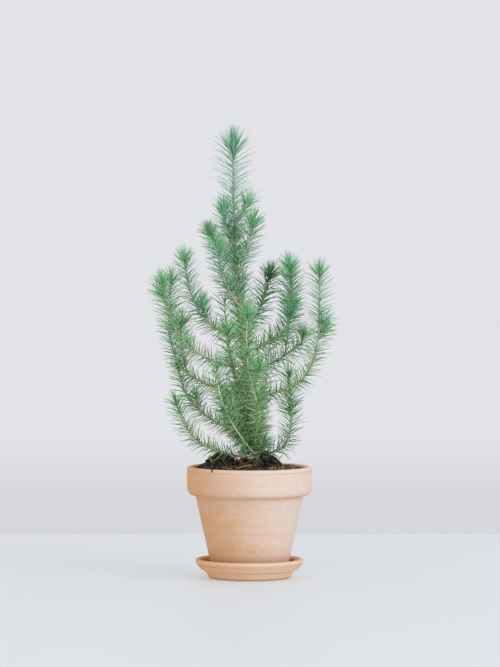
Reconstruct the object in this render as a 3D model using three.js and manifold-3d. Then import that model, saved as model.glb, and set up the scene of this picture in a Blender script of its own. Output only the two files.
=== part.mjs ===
// A young Italian stone pine in a terracotta pot that stands in its saucer.
// Millimetres, +Z up, +X to the plant's right, +Y to its back.
// The origin is the centre of the saucer's flat foot.
import * as THREE from "three";
import { mergeVertices } from "three/addons/utils/BufferGeometryUtils.js";
import Module from "manifold-3d";

const wasm = await Module();
wasm.setup();
const { lerp, degToRad, smoothstep } = THREE.MathUtils;

// ---------------------------------------------------------------- driving dimensions

const GAP = 0.3; // clearance between pieces that rest on each other
const ROUND = 44; // sides of the turned clay

const SAUCER = {
  footRadius: 54,
  stepRadius: 62,
  stepHeight: 10,
  lipRadius: 72.8,
  lipHeight: 22.5,
  height: 26.8,
  wellRadius: 57,
  floor: 7,
};

const POT = {
  height: 144.7,
  baseRadius: 50.4,
  neckRadius: 72.4, // where the body meets the band under the rim
  rimRadius: 85,
  bandHeight: 39,
  wall: 8.5,
  rimWall: 9.5,
  lipDepth: 5, // the rounded lip above the inner wall
  floor: 9,
  drainRadius: 11,
};

const SOIL = {
  level: 147.7, // the ground round the trunk's foot
  edgeDrop: 4, // how far the ground falls to the wall
  flatRadius: 16, // level ground round the trunk's foot
  sectors: 32,
  // each heap: place across the pot, height and spread
  heaps: [
    { x: -34, y: 4, height: 15, spread: 22 },
    { x: 36, y: 16, height: 14, spread: 15 },
    { x: 44, y: -26, height: 5, spread: 15 },
    { x: -8, y: 48, height: 9, spread: 20 },
    { x: -40, y: -38, height: 5, spread: 14 },
  ],
};

const TRUNK = {
  foot: { x: 11.6, y: -4 },
  ground: SOIL.level + GAP,
  top: 574,
  lean: 33.8, // how far the tip stands to the left of the foot
  radii: [6.6, 5.2, 3.9, 2.9, 2.1, 1.5, 1.1], // even steps from the ground to the tip
  flare: 3.4, // what the root flare adds at the ground
  flareHeight: 11,
  sides: 12,
  rings: 26,
};

// Each limb leaves the trunk at a height, runs out to its elbow and turns up to its tip.
// out and up place the elbow as shares of the reach and the climb, bend is how tightly the
// limb turns there, and bare is the share of its length that is a plain bough before the
// needled shoot begins.
const LIMBS = [
  { name: "left_high", from: 329, azimuth: 193, reach: 81, top: 439, out: 0.87, up: 0.09, bend: 0.73, bare: 0.3 },
  { name: "left_outer", from: 288, azimuth: 197, reach: 118, top: 423, out: 0.86, up: 0.06, bend: 0.73, bare: 0.32 },
  { name: "left_middle", from: 247, azimuth: 170, reach: 108, top: 424, out: 1.09, up: 0.17, bend: 0.9, bare: 0.28 },
  { name: "left_low", from: 167, azimuth: 193, reach: 113, top: 248, out: 0.8, up: 0.21, bend: 0.9, bare: 0.28 },
  { name: "left_rear", from: 185, azimuth: 158, reach: 113, top: 287, out: 0.9, up: 0.43, bend: 0.9, bare: 0.3 },
  { name: "right_outer", from: 245, azimuth: 348, reach: 97, top: 428, out: 1.02, up: 0.11, bend: 0.92, bare: 0.28 },
  { name: "right_rear", from: 274, azimuth: 33, reach: 92, top: 330, out: 1.04, up: 0.7, bend: 0.76, bare: 0.32 },
  { name: "right_inner", from: 308, azimuth: 9, reach: 63, top: 431, out: 1.12, up: 0.18, bend: 0.9, bare: 0.28 },
  { name: "right_high", from: 337, azimuth: 54, reach: 65, top: 426, out: 0.55, up: 0.12, bend: 0.85, bare: 0.2 },
  { name: "right_low", from: 168, azimuth: 26, reach: 49, top: 277, out: 1.22, up: 0.03, bend: 0.92, bare: 0.24 },
  { name: "front_left", from: 178, azimuth: 232, reach: 86, top: 292, out: 1.04, up: 0.5, bend: 0.7, bare: 0.24 },
  { name: "front_centre", from: 193, azimuth: 262, reach: 55, top: 372, out: 0.95, up: 0.42, bend: 0.8, bare: 0.16 },
  { name: "front_right", from: 263, azimuth: 282, reach: 80, top: 306, out: 0.81, up: 0.39, bend: 0.72, bare: 0.36 },
  { name: "front_high", from: 229, azimuth: 249, reach: 89, top: 341, out: 0.81, up: 0.34, bend: 0.72, bare: 0.32 },
  { name: "front_low", from: 188, azimuth: 284, reach: 81, top: 258, out: 0.8, up: 0.35, bend: 0.72, bare: 0.3 },
  { name: "back_high", from: 297, azimuth: 84, reach: 78, top: 407, out: 0.81, up: 0.29, bend: 0.72, bare: 0.3 },
  { name: "back_left", from: 249, azimuth: 110, reach: 100, top: 376, out: 0.81, up: 0.22, bend: 0.78, bare: 0.32 },
  { name: "back_right", from: 215, azimuth: 76, reach: 104, top: 327, out: 0.8, up: 0.23, bend: 0.78, bare: 0.34 },
  { name: "back_low", from: 181, azimuth: 118, reach: 103, top: 254, out: 0.81, up: 0.26, bend: 0.78, bare: 0.34 },
  { name: "back_foot", from: 172, azimuth: 72, reach: 88, top: 235, out: 0.81, up: 0.2, bend: 0.78, bare: 0.32 },
  { name: "crown_back", from: 378, azimuth: 100, reach: 54, top: 462, out: 0.8, up: 0.35, bend: 0.72, bare: 0 },
  { name: "crown_left", from: 370, azimuth: 228, reach: 45, top: 463, out: 0.81, up: 0.36, bend: 0.72, bare: 0 },
  { name: "crown_right", from: 410, azimuth: 314, reach: 31, top: 497, out: 0.66, up: 0.48, bend: 0.72, bare: 0 },
  { name: "top_left", from: 422, azimuth: 147, reach: 46, top: 470, out: 0.72, up: 0.42, bend: 0.72, bare: 0 },
  { name: "top_front", from: 451, azimuth: 213, reach: 24, top: 515, out: 0.85, up: 0.5, bend: 0.72, bare: 0 },
  { name: "top_back", from: 479, azimuth: 53, reach: 28, top: 514, out: 0.65, up: 0.44, bend: 0.72, bare: 0 },
];

// Side twigs with a place of their own: at is the share of the limb that they leave it at.
const TWIGS = {
  left_high: [{ at: 0.38, azimuth: 180, climb: 75, length: 24 }],
  left_outer: [{ at: 0.85, azimuth: 180, climb: 40, length: 21 }],
  left_middle: [{ at: 0.4, azimuth: 160, climb: 82, length: 72 }],
  right_outer: [{ at: 0.6, azimuth: 0, climb: 55, length: 17 }],
  right_rear: [{ at: 0.6, azimuth: 60, climb: 83, length: 112 }],
  right_inner: [{ at: 0.5, azimuth: 330, climb: 78, length: 22 }],
  right_low: [{ at: 0.6, azimuth: 110, climb: 65, length: 16 }],
};

// The seeded rule for further side twigs.
const TWIG = {
  spacing: 110, // millimetres of shoot for each one
  lengths: [14, 26],
  place: [0.15, 0.75], // the stretch of the shoot that they leave from
  turns: [35, 75], // degrees to either side of the limb's own way
  climbs: [35, 60],
  rootRadius: 0.8, // and more with the twig's length
  thickest: 1.4,
  thickening: 90, // millimetres of length for each millimetre of that
  tipRadius: 0.95,
};

const LIMB = {
  rootRadius: 2.7,
  smallest: 0.72, // share of that radius on the shortest limbs
  sizes: [40, 260], // reach and climb together of the shortest and the longest
  taper: 0.7,
  tipRadius: 1.25,
  sides: 6,
  ringStep: 11,
};

const NEEDLE = {
  lengths: [17, 28, 24], // in the end tuft, along the shoot and at its root
  leaderTuft: 31, // length in the tuft on the trunk's own tip
  angles: [22, 54, 82], // from the shoot, in the same three places
  tuftward: 22, // distances from the tip at which these settle
  midway: 42,
  rootward: 125,
  width: 1.8, // half the width of a needle's root
  sleeveWidth: 2.5, // the same on a sleeve
  clear: 0.35, // air kept between needles
  share: 0.66, // of a shoot's facets that carry a needle
  sleeveShare: 0.5, // the same on a sleeve, which has more facets
  turn: 0.3, // how far needles stray sideways and along, and how their lengths vary
  tilt: 0.16,
  lengthSpread: 0.2,
  rootShare: 0.35, // needles of one shoot may touch within this share of their length
  stemShare: 0.4, // and may touch their own stem within this one
  shuffle: 60, // millimetres from the tip by which the order of choosing is mixed
};

const SHOOT = {
  tipRing: 2,
  tuft: 14, // length of the dense end
  tuftStep: 4,
  step: 6.4,
  twist: 17, // degrees that each ring is turned past an even step
};

const SPACE = {
  slack: 7, // how far a needle may reach past the middle between two limbs
  lowest: 157, // needles stay above the rim
};

// Needled sleeves round the trunk, from height to height. The last one closes over its tip.
const SLEEVES = [
  { name: "trunk_low", from: 250, to: 326 },
  { name: "trunk_middle", from: 327, to: 402 },
  { name: "trunk_high", from: 403, to: 486 },
  { name: "leader", from: 487, to: 584 },
];
const SLEEVE_WALL = 0.8;
const SLEEVE_SIDES = 6;

const COLOURS = {
  terracotta: 0xdcbea6,
  saucer: 0xd4af92,
  soil: 0x3a322d,
  bark: 0x9a8a72,
  twig: 0xa89878,
  needles: 0x6e9f86,
};

// ---------------------------------------------------------------- helpers

// A seeded source of numbers from 0 to 1.
function seeded(seed) {
  let state = seed * 2654435761 >>> 0;
  return () => {
    state = state + 0x6d2b79f5 >>> 0;
    let mixed = Math.imul(state ^ state >>> 15, state | 1);
    mixed ^= mixed + Math.imul(mixed ^ mixed >>> 7, mixed | 61);
    return ((mixed ^ mixed >>> 14) >>> 0) / 4294967296;
  };
}

function solidOf(geometry) {
  const bare = geometry.clone();
  bare.deleteAttribute("normal");
  bare.deleteAttribute("uv");
  const merged = mergeVertices(bare, 1e-4);
  return new wasm.Manifold(new wasm.Mesh({
    numProp: 3,
    vertProperties: new Float32Array(merged.attributes.position.array),
    triVerts: new Uint32Array(merged.index.array),
  }));
}

// The largest body of a solid, as a geometry. Loose scraps are dropped.
function geometryOf(solid) {
  const bodies = solid.simplify(0.004).decompose();
  const whole = bodies.reduce((most, body) => (body.volume() > most.volume() ? body : most));
  const mesh = whole.getMesh();
  const geometry = new THREE.BufferGeometry();
  geometry.setAttribute("position", new THREE.BufferAttribute(mesh.vertProperties, 3));
  geometry.setIndex(new THREE.BufferAttribute(mesh.triVerts, 1));
  return geometry;
}

// A profile of [radius, height] pairs turned round the Z axis.
function turned(profile, sides) {
  const points = profile.map(([radius, height]) => new THREE.Vector2(radius, height));
  return new THREE.LatheGeometry(points, sides).rotateX(Math.PI / 2);
}

// Stations along a curve: a place, its direction and two axes across it that don't twist.
function stationsOn(curve, shares) {
  const stations = [];
  let across = new THREE.Vector3(0, 1, 0);
  for (const share of shares) {
    const along = curve.getTangentAt(share);
    if (Math.abs(across.dot(along)) > 0.9) across = new THREE.Vector3(1, 0, 0);
    across = across.clone().addScaledVector(along, -across.dot(along)).normalize();
    const side = along.clone().cross(across);
    stations.push({ place: curve.getPointAt(share), along, across, side });
  }
  return stations;
}

// Rings of vertices round the stations, each ring turned half a side and a twist further on.
function ringsOn(stations, radii, sides, twist = 0) {
  return stations.map((station, index) => {
    const ring = [];
    for (let side = 0; side < sides; side++) {
      const angle = 2 * Math.PI * (side + index / 2) / sides + degToRad(twist) * index;
      ring.push(station.place.clone()
        .addScaledVector(station.across, Math.cos(angle) * radii[index])
        .addScaledVector(station.side, Math.sin(angle) * radii[index]));
    }
    return ring;
  });
}

// The facets of a limb's side, as three vertices each, with the ring that each starts from.
function facetsOf(rings) {
  const facets = [];
  for (let index = 0; index + 1 < rings.length; index++) {
    const [low, high] = [rings[index], rings[index + 1]];
    for (let side = 0; side < low.length; side++) {
      const next = (side + 1) % low.length;
      facets.push({ index, corners: [low[side], low[next], high[side]] });
      facets.push({ index, corners: [high[side], low[next], high[next]] });
    }
  }
  return facets;
}

// A closed limb from its rings. A facet with an apex is raised to it as a needle.
function limbSolid(rings, facets, tip) {
  const corners = [];
  const face = (...points) => points.forEach((point) => corners.push(point.x, point.y, point.z));
  const first = rings[0];
  const last = rings[rings.length - 1];
  for (let side = 1; side + 1 < first.length; side++) face(first[0], first[side + 1], first[side]);
  for (let side = 0; side < last.length; side++) {
    if (tip) face(last[side], last[(side + 1) % last.length], tip);
    else if (side > 0 && side + 1 < last.length) face(last[0], last[side], last[side + 1]);
  }
  for (const { corners: [a, b, c], apex } of facets) {
    if (!apex) face(a, b, c);
    else [[a, b], [b, c], [c, a]].forEach(([from, to]) => face(from, to, apex));
  }
  const geometry = new THREE.BufferGeometry();
  geometry.setAttribute("position", new THREE.Float32BufferAttribute(corners, 3));
  return solidOf(mergeVertices(geometry, 1e-5));
}

// The nearest points of two segments: their distance and how far along each they lie.
function nearest(a, b, c, d) {
  const [u, v, w] = [b.clone().sub(a), d.clone().sub(c), a.clone().sub(c)];
  const [uu, uv, vv, uw, vw] = [u.dot(u), u.dot(v), v.dot(v), u.dot(w), v.dot(w)];
  const slope = uu * vv - uv * uv;
  let s = slope > 1e-9 ? THREE.MathUtils.clamp((uv * vw - vv * uw) / slope, 0, 1) : 0;
  const t = THREE.MathUtils.clamp((uv * s + vw) / vv, 0, 1);
  s = THREE.MathUtils.clamp((uv * t - uw) / uu, 0, 1);
  return { s, t, distance: w.addScaledVector(u, s).addScaledVector(v, -t).length() };
}

// ---------------------------------------------------------------- saucer, pot and soil

function saucerGeometry() {
  const { footRadius, stepRadius, stepHeight, lipRadius, lipHeight, height, wellRadius, floor } = SAUCER;
  return turned([
    [0, 0],
    [footRadius, 0],
    [stepRadius, stepHeight],
    [stepRadius + 4, stepHeight + 2],
    [lipRadius - 1.2, lipHeight - 5],
    [lipRadius, lipHeight],
    [lipRadius - 1.3, height - 1],
    [lipRadius - 3.3, height],
    [lipRadius - 5.8, height - 1],
    [lipRadius - 7.6, height - 4],
    [wellRadius + 1.2, floor + 2],
    [wellRadius - 2, floor],
    [0, floor],
  ], ROUND);
}

// Radius of the pot's inner wall at a height above its base: it opens more within the band.
function potBore(height) {
  const band = POT.height - POT.bandHeight;
  const neck = POT.neckRadius - POT.wall;
  if (height < band) return lerp(POT.baseRadius - POT.wall, neck, height / band);
  return lerp(neck, POT.rimRadius - POT.rimWall, (height - band) / (POT.bandHeight - POT.lipDepth));
}

function potGeometry() {
  const { height, baseRadius, neckRadius, rimRadius, bandHeight, rimWall, floor, drainRadius } = POT;
  const band = height - bandHeight;
  const lip = rimRadius - rimWall / 2;
  return turned([
    [drainRadius, 0],
    [baseRadius - 1.5, 0],
    [baseRadius, 1.5],
    [neckRadius, band],
    [neckRadius + 4, band + 1],
    [rimRadius - 2.6, band + 4.5],
    [rimRadius, band + 11],
    [rimRadius, height - 4.5],
    [rimRadius - 1.4, height - 1.3],
    [lip, height],
    [rimRadius - rimWall + 1, height - 1.3],
    [rimRadius - rimWall, height - POT.lipDepth],
    [potBore(band), band],
    [potBore(floor), floor],
    [drainRadius, floor],
    [drainRadius, 0],
  ], ROUND);
}

// Height of the ground above its level, at a place across the pot.
function groundRise(x, y) {
  const fromFoot = Math.hypot(x - TRUNK.foot.x, y - TRUNK.foot.y);
  const offFlat = smoothstep(fromFoot, SOIL.flatRadius, SOIL.flatRadius + 13);
  const toWall = smoothstep(Math.hypot(x, y), 50, 74);
  let rise = -SOIL.edgeDrop * toWall;
  for (const heap of SOIL.heaps) {
    const away = Math.hypot(x - heap.x, y - heap.y) / heap.spread;
    rise += heap.height * Math.exp(-away * away) * (1 - 0.8 * toWall);
  }
  return rise * offFlat;
}

function soilGeometry() {
  const base = SAUCER.floor + GAP;
  const under = POT.floor + GAP;
  const wallTop = SOIL.level - SOIL.edgeDrop - base;
  const band = POT.height - POT.bandHeight;
  const edge = potBore(wallTop) - 2 * GAP;
  const ringRadii = [edge, 66, 56, 45, 35, 26, 13];
  const profile = [[0, under], [potBore(under) - 2 * GAP, under], [potBore(band) - 2 * GAP, band]];
  for (const radius of ringRadii) profile.push([radius, wallTop]);
  profile.push([0, wallTop]);
  const geometry = turned(profile, SOIL.sectors);
  const spots = geometry.attributes.position;
  for (let index = 0; index < spots.count; index++) {
    if (spots.getZ(index) < wallTop - 1) continue;
    const inward = 1 - Math.hypot(spots.getX(index), spots.getY(index)) / edge;
    const x = spots.getX(index) + TRUNK.foot.x * inward;
    const y = spots.getY(index) + TRUNK.foot.y * inward;
    spots.setXYZ(index, x, y, SOIL.level - base + groundRise(x, y));
  }
  return geometry;
}

// ---------------------------------------------------------------- trunk

function trunkAxis(height) {
  const climb = (height - TRUNK.ground) / (TRUNK.top - TRUNK.ground);
  const x = TRUNK.foot.x - TRUNK.lean * Math.sin(Math.PI / 2 * Math.min(climb, 1.05));
  return new THREE.Vector3(x, TRUNK.foot.y, height);
}

function trunkRadius(height) {
  const { ground, top, radii, flare, flareHeight } = TRUNK;
  const place = THREE.MathUtils.clamp((height - ground) / (top - ground), 0, 1) * (radii.length - 1);
  const step = Math.min(Math.floor(place), radii.length - 2);
  const spread = flare * Math.exp(-Math.pow((height - ground) / flareHeight, 2) * 2);
  return lerp(radii[step], radii[step + 1], place - step) + spread;
}

// The trunk, or the room that it needs with some clearance all round.
function trunkSolid(clearance) {
  const { ground, top, sides, rings } = TRUNK;
  const loops = [];
  for (let index = 0; index <= rings; index++) {
    const share = index / rings;
    const height = lerp(ground, top, Math.pow(share, 1.15));
    const radius = trunkRadius(height) + clearance / Math.cos(Math.PI / sides);
    const loop = [];
    for (let side = 0; side < sides; side++) {
      const angle = 2 * Math.PI * (side + (index % 2) / 2) / sides;
      loop.push(trunkAxis(height).add(new THREE.Vector3(Math.cos(angle), Math.sin(angle), 0)
        .multiplyScalar(radius)));
    }
    loops.push(loop);
  }
  if (clearance) loops[loops.length - 1].forEach((corner) => (corner.z += clearance));
  const facets = [];
  for (let index = 0; index < rings; index++) {
    for (let side = 0; side < sides; side++) {
      const next = (side + 1) % sides;
      const shift = index % 2;
      const [low, high] = [loops[index], loops[index + 1]];
      if (shift) {
        facets.push({ corners: [low[side], low[next], high[next]] });
        facets.push({ corners: [low[side], high[next], high[side]] });
      } else {
        facets.push({ corners: [low[side], low[next], high[side]] });
        facets.push({ corners: [high[side], low[next], high[next]] });
      }
    }
  }
  return limbSolid(loops, facets);
}

// ---------------------------------------------------------------- limbs

function limbCurve(limb) {
  const root = trunkAxis(limb.from);
  const azimuth = degToRad(limb.azimuth);
  const outward = new THREE.Vector3(Math.cos(azimuth), Math.sin(azimuth), 0);
  const tip = root.clone().addScaledVector(outward, limb.reach);
  const elbow = root.clone().addScaledVector(outward, limb.reach * limb.out);
  tip.z = limb.top;
  elbow.z = lerp(limb.from, limb.top, limb.up);
  return new THREE.CubicBezierCurve3(root, root.clone().lerp(elbow, limb.bend),
    tip.clone().lerp(elbow, limb.bend), tip);
}

function limbRadius(limb, share) {
  const size = smoothstep(limb.reach + limb.top - limb.from, ...LIMB.sizes);
  const root = LIMB.rootRadius * lerp(LIMB.smallest, 1, size);
  return lerp(root, LIMB.tipRadius, Math.pow(share, LIMB.taper));
}

function boughSolid(limb, clearance) {
  const length = limb.curve.getLength() * limb.bare;
  const count = Math.max(3, Math.round(length / LIMB.ringStep));
  const shares = Array.from({ length: count + 1 }, (_, index) => limb.bare * index / count);
  const inscribed = Math.cos(Math.PI / LIMB.sides);
  const radii = shares.map((share) => limbRadius(limb, share) + clearance / inscribed);
  const rings = ringsOn(stationsOn(limb.curve, shares), radii, LIMB.sides);
  return limbSolid(rings, facetsOf(rings));
}

// ---------------------------------------------------------------- needled shoots

// The angle between a needle and its shoot, by its distance from the shoot's tip.
function needleAngle(fromTip) {
  const [tuft, along, root] = NEEDLE.angles;
  const opened = lerp(tuft, along, smoothstep(fromTip, 0, NEEDLE.midway));
  return degToRad(lerp(opened, root, smoothstep(fromTip, NEEDLE.midway, NEEDLE.rootward)));
}

// The length of a needle, by the same distance.
function needleLength(fromTip, leads) {
  const [tuft, along, root] = NEEDLE.lengths;
  const grown = lerp(leads ? NEEDLE.leaderTuft : tuft, along, smoothstep(fromTip, 0, NEEDLE.tuftward));
  return lerp(grown, root, smoothstep(fromTip, NEEDLE.midway, NEEDLE.rootward));
}

// A shoot: rings along a curve, and the needles that it could carry. Where the curve ends
// before the shoot's own tip, as a sleeve's does, beyond is the length that is left.
function shootOn(curve, options) {
  const { start = 0, radiusAt, sides = 3, random, owner, tipRing = SHOOT.tipRing, beyond = 0 } = options;
  const leads = owner.name === "leader";
  const share = sides === 3 ? NEEDLE.share : NEEDLE.sleeveShare;
  const width = sides === 3 ? NEEDLE.width : NEEDLE.sleeveWidth;
  const whole = curve.getLength();
  const length = whole * (1 - start);
  const marks = [];
  for (let mark = tipRing; mark < length; mark += mark < SHOOT.tuft ? SHOOT.tuftStep : SHOOT.step) {
    marks.push(mark);
  }
  if (length - marks[marks.length - 1] < SHOOT.step / 2) marks.pop();
  marks.push(length);
  marks.reverse();
  const stations = stationsOn(curve, marks.map((mark) => Math.max(0, 1 - mark / whole)));
  const rings = ringsOn(stations, marks.map((mark) => radiusAt(1 - mark / whole)), sides, SHOOT.twist);
  const facets = facetsOf(rings);
  for (const facet of facets) {
    const fromTip = marks[facet.index] + beyond;
    const inTuft = fromTip <= SHOOT.tuft + SHOOT.tuftStep;
    const draws = [random(), random(), random(), random()];
    if (!inTuft && draws[0] > share) continue;
    const { place, along, across, side } = stations[facet.index];
    const root = new THREE.Vector3();
    facet.corners.forEach((corner) => root.addScaledVector(corner, 1 / 3));
    const outward = root.clone().sub(place);
    outward.addScaledVector(along, -outward.dot(along)).normalize();
    outward.addScaledVector(across, (draws[1] - 0.5) * NEEDLE.turn);
    outward.addScaledVector(side, (draws[2] - 0.5) * NEEDLE.turn);
    outward.addScaledVector(along, -outward.dot(along)).normalize();
    const angle = needleAngle(fromTip) + (draws[1] - 0.5) * NEEDLE.tilt;
    const reach = needleLength(fromTip, leads);
    const needle = along.clone().multiplyScalar(Math.cos(angle)).addScaledVector(outward, Math.sin(angle));
    facet.needle = {
      facet, owner, root, fromTip, width,
      apex: root.clone().addScaledVector(needle, reach * (1 + (draws[3] - 0.5) * NEEDLE.lengthSpread)),
    };
  }
  const end = stations[stations.length - 1];
  return {
    owner, rings, facets, marks,
    places: stations.map((station) => station.place),
    radii: marks.map((mark) => radiusAt(1 - mark / whole)),
    tip: end.place.clone().addScaledVector(end.along, tipRing + needleLength(0, leads)),
  };
}

// A side twig leaves its limb outward and curves up.
function twigCurve(limb, twig) {
  const root = limb.curve.getPointAt(twig.at);
  const azimuth = degToRad(twig.azimuth);
  const climb = degToRad(twig.climb);
  const outward = new THREE.Vector3(Math.cos(azimuth), Math.sin(azimuth), 0);
  const end = root.clone().addScaledVector(outward, twig.length * Math.cos(climb));
  end.z += twig.length * Math.sin(climb);
  const middle = root.clone().lerp(end, 0.45).addScaledVector(outward, twig.length * 0.13);
  return new THREE.QuadraticBezierCurve3(root, middle, end);
}

// The side twigs of a limb: those with a place of their own and some by the seeded rule.
function twigsOf(limb, seed) {
  const random = seeded(seed);
  const twigs = [...(TWIGS[limb.name] ?? [])];
  const length = limb.curve.getLength() * (1 - limb.bare);
  const more = Math.floor(length / TWIG.spacing) - twigs.length;
  for (let index = 0; index < more; index++) {
    const side = random() < 0.5 ? -1 : 1;
    twigs.push({
      azimuth: limb.azimuth + side * lerp(...TWIG.turns, random()),
      at: lerp(limb.bare, 1, lerp(...TWIG.place, (index + random()) / more)),
      climb: lerp(...TWIG.climbs, random()),
      length: lerp(...TWIG.lengths, random()),
    });
  }
  return twigs;
}

LIMBS.forEach((limb, index) => {
  limb.curve = limbCurve(limb);
  const random = seeded(100 + index);
  const radiusAt = (share) => limbRadius(limb, share);
  const past = limb.bare ? GAP / limb.curve.getLength() : 0;
  limb.shoots = [shootOn(limb.curve, { start: limb.bare + past, radiusAt, random, owner: limb })];
  for (const twig of twigsOf(limb, 200 + index)) {
    const thick = Math.min(TWIG.thickest, TWIG.rootRadius + twig.length / TWIG.thickening);
    const taper = (share) => lerp(thick, TWIG.tipRadius, share);
    limb.shoots.push(shootOn(twigCurve(limb, twig), { radiusAt: taper, random, owner: limb }));
  }
});

function sleeveRadius(height) {
  return (trunkRadius(height) + GAP + SLEEVE_WALL) / Math.cos(Math.PI / SLEEVE_SIDES);
}

SLEEVES.forEach((sleeve, index) => {
  const ends = [trunkAxis(sleeve.from), trunkAxis((sleeve.from + sleeve.to) / 2), trunkAxis(sleeve.to)];
  const curve = new THREE.CatmullRomCurve3(ends);
  const radiusAt = (share) => sleeveRadius(lerp(sleeve.from, sleeve.to, share));
  const random = seeded(300 + index);
  const beyond = SLEEVES[SLEEVES.length - 1].to - sleeve.to;
  const tipRing = beyond ? 0.01 : SHOOT.tipRing;
  const options = { radiusAt, sides: SLEEVE_SIDES, random, owner: sleeve, tipRing, beyond };
  sleeve.shoots = [shootOn(curve, options)];
});

// ---------------------------------------------------------------- which needles have room

// Every limb as a chain of round segments that needles keep clear of.
function chainOf(owner, curve, radiusAt, from = 0) {
  const count = Math.max(4, Math.ceil(curve.getLength() * (1 - from) / 14));
  const chain = [];
  for (let index = 0; index < count; index++) {
    const [start, end] = [lerp(from, 1, index / count), lerp(from, 1, (index + 1) / count)];
    chain.push({ owner, start: curve.getPointAt(start), end: curve.getPointAt(end), radius: radiusAt(start) });
  }
  return chain;
}

const chains = [];
for (let height = TRUNK.ground; height < TRUNK.top; height += 12) {
  chains.push({ start: trunkAxis(height), end: trunkAxis(height + 12), radius: sleeveRadius(height) });
}
for (const limb of LIMBS) {
  chains.push(...chainOf(limb, limb.curve, (share) => limbRadius(limb, share)));
  for (const shoot of limb.shoots.slice(1)) {
    const line = new THREE.CatmullRomCurve3(shoot.places);
    chains.push(...chainOf(limb, line, () => shoot.radii[0]));
  }
}

const kept = [];

function keep(needle) {
  const { root, apex } = needle;
  needle.middle = root.clone().lerp(apex, 0.5);
  needle.half = root.distanceTo(apex) / 2;
  needle.inner = root.clone().lerp(apex, NEEDLE.rootShare);
  kept.push(needle);
}

// Whether a needle stays in its mass's own space, above the rim and clear of all the rest.
function hasRoom({ root, apex, owner, width }) {
  if (apex.z < SPACE.lowest) return false;
  const middle = root.clone().lerp(apex, 0.5);
  const half = root.distanceTo(apex) / 2;
  let ownAway = Infinity;
  let otherAway = Infinity;
  for (const { owner: holder, start, end, radius } of chains) {
    const own = holder ? holder === owner : SLEEVES.includes(owner);
    const away = nearest(middle, apex, start, end).distance;
    if (own) ownAway = Math.min(ownAway, away);
    else if (holder) otherAway = Math.min(otherAway, away);
    const from = own ? root.clone().lerp(apex, NEEDLE.stemShare) : root;
    const { s, distance } = nearest(from, apex, start, end);
    if (distance < radius + width * (1 - s) + NEEDLE.clear) return false;
  }
  if (ownAway > otherAway + SPACE.slack) return false;
  return kept.every((other) => {
    if (other.middle.distanceTo(middle) > half + other.half + width + other.width) return true;
    const own = other.owner === owner;
    const from = own ? root.clone().lerp(apex, NEEDLE.rootShare) : root;
    const { s, t, distance } = nearest(from, apex, own ? other.inner : other.root, other.apex);
    const size = own ? 1 - NEEDLE.rootShare : 1;
    return distance >= size * (width * (1 - s) + other.width * (1 - t)) + NEEDLE.clear;
  });
}

// The tips of all shoots come first, and tufts choose before the needles further back.
const wanted = [];
for (const owner of [...LIMBS, ...SLEEVES]) {
  for (const { places, tip, facets } of owner.shoots) {
    keep({ root: places[places.length - 1], apex: tip, owner, width: NEEDLE.width });
    wanted.push(...facets.filter((facet) => facet.needle).map((facet) => facet.needle));
  }
}
const shuffle = seeded(7);
for (const needle of wanted) needle.order = needle.fromTip + NEEDLE.shuffle * shuffle();
wanted.sort((a, b) => a.order - b.order);
for (const needle of wanted) {
  if (!hasRoom(needle)) continue;
  keep(needle);
  needle.facet.apex = needle.apex;
}

// ---------------------------------------------------------------- the group

const plant = new THREE.Group();

function add(name, geometry, colour, roughness, height = 0) {
  const material = new THREE.MeshStandardMaterial({ color: colour, roughness, metalness: 0 });
  const mesh = new THREE.Mesh(geometry, material);
  mesh.name = name;
  mesh.position.z = height;
  plant.add(mesh);
}

add("saucer", saucerGeometry(), COLOURS.saucer, 0.85);
add("pot", potGeometry(), COLOURS.terracotta, 0.9, SAUCER.floor + GAP);
add("soil", soilGeometry(), COLOURS.soil, 1, SAUCER.floor + GAP);
add("trunk", geometryOf(trunkSolid(0)), COLOURS.bark, 0.85);

const trunkRoom = trunkSolid(GAP);

for (const limb of LIMBS) {
  if (!limb.bare) continue;
  add("bough_" + limb.name, geometryOf(boughSolid(limb, 0).subtract(trunkRoom)), COLOURS.twig, 0.8);
}
for (const limb of LIMBS) {
  const solids = limb.shoots.map(({ rings, facets, tip }) => limbSolid(rings, facets, tip));
  const mass = wasm.Manifold.union(solids);
  add("needles_" + limb.name, geometryOf(limb.bare ? mass : mass.subtract(trunkRoom)),
    COLOURS.needles, 0.55);
}
for (const sleeve of SLEEVES) {
  const [{ rings, facets, tip }] = sleeve.shoots;
  let mass = limbSolid(rings, facets, sleeve.name === "leader" ? tip : undefined).subtract(trunkRoom);
  for (const limb of LIMBS) {
    if (limb.from < sleeve.from - 60 || limb.from > sleeve.to) continue;
    mass = mass.subtract(boughSolid({ ...limb, bare: 0.8 }, GAP * 2));
  }
  add("needles_" + sleeve.name, geometryOf(mass), COLOURS.needles, 0.55);
}

export default plant;
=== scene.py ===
import math

import bmesh
import bpy
import numpy as np
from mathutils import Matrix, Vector, noise


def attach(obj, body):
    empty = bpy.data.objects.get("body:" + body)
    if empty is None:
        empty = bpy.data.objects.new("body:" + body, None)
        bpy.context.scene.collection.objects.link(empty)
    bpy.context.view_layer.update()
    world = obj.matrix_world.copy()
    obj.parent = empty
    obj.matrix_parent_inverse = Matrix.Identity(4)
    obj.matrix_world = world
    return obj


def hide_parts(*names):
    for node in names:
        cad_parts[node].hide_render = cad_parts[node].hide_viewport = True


# A young Italian stone pine in a terracotta pot that stands in its saucer. Sizes are in
# millimetres, +X to the plant's right, +Y to its back, +Z up, and the table top is at zero.

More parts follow.
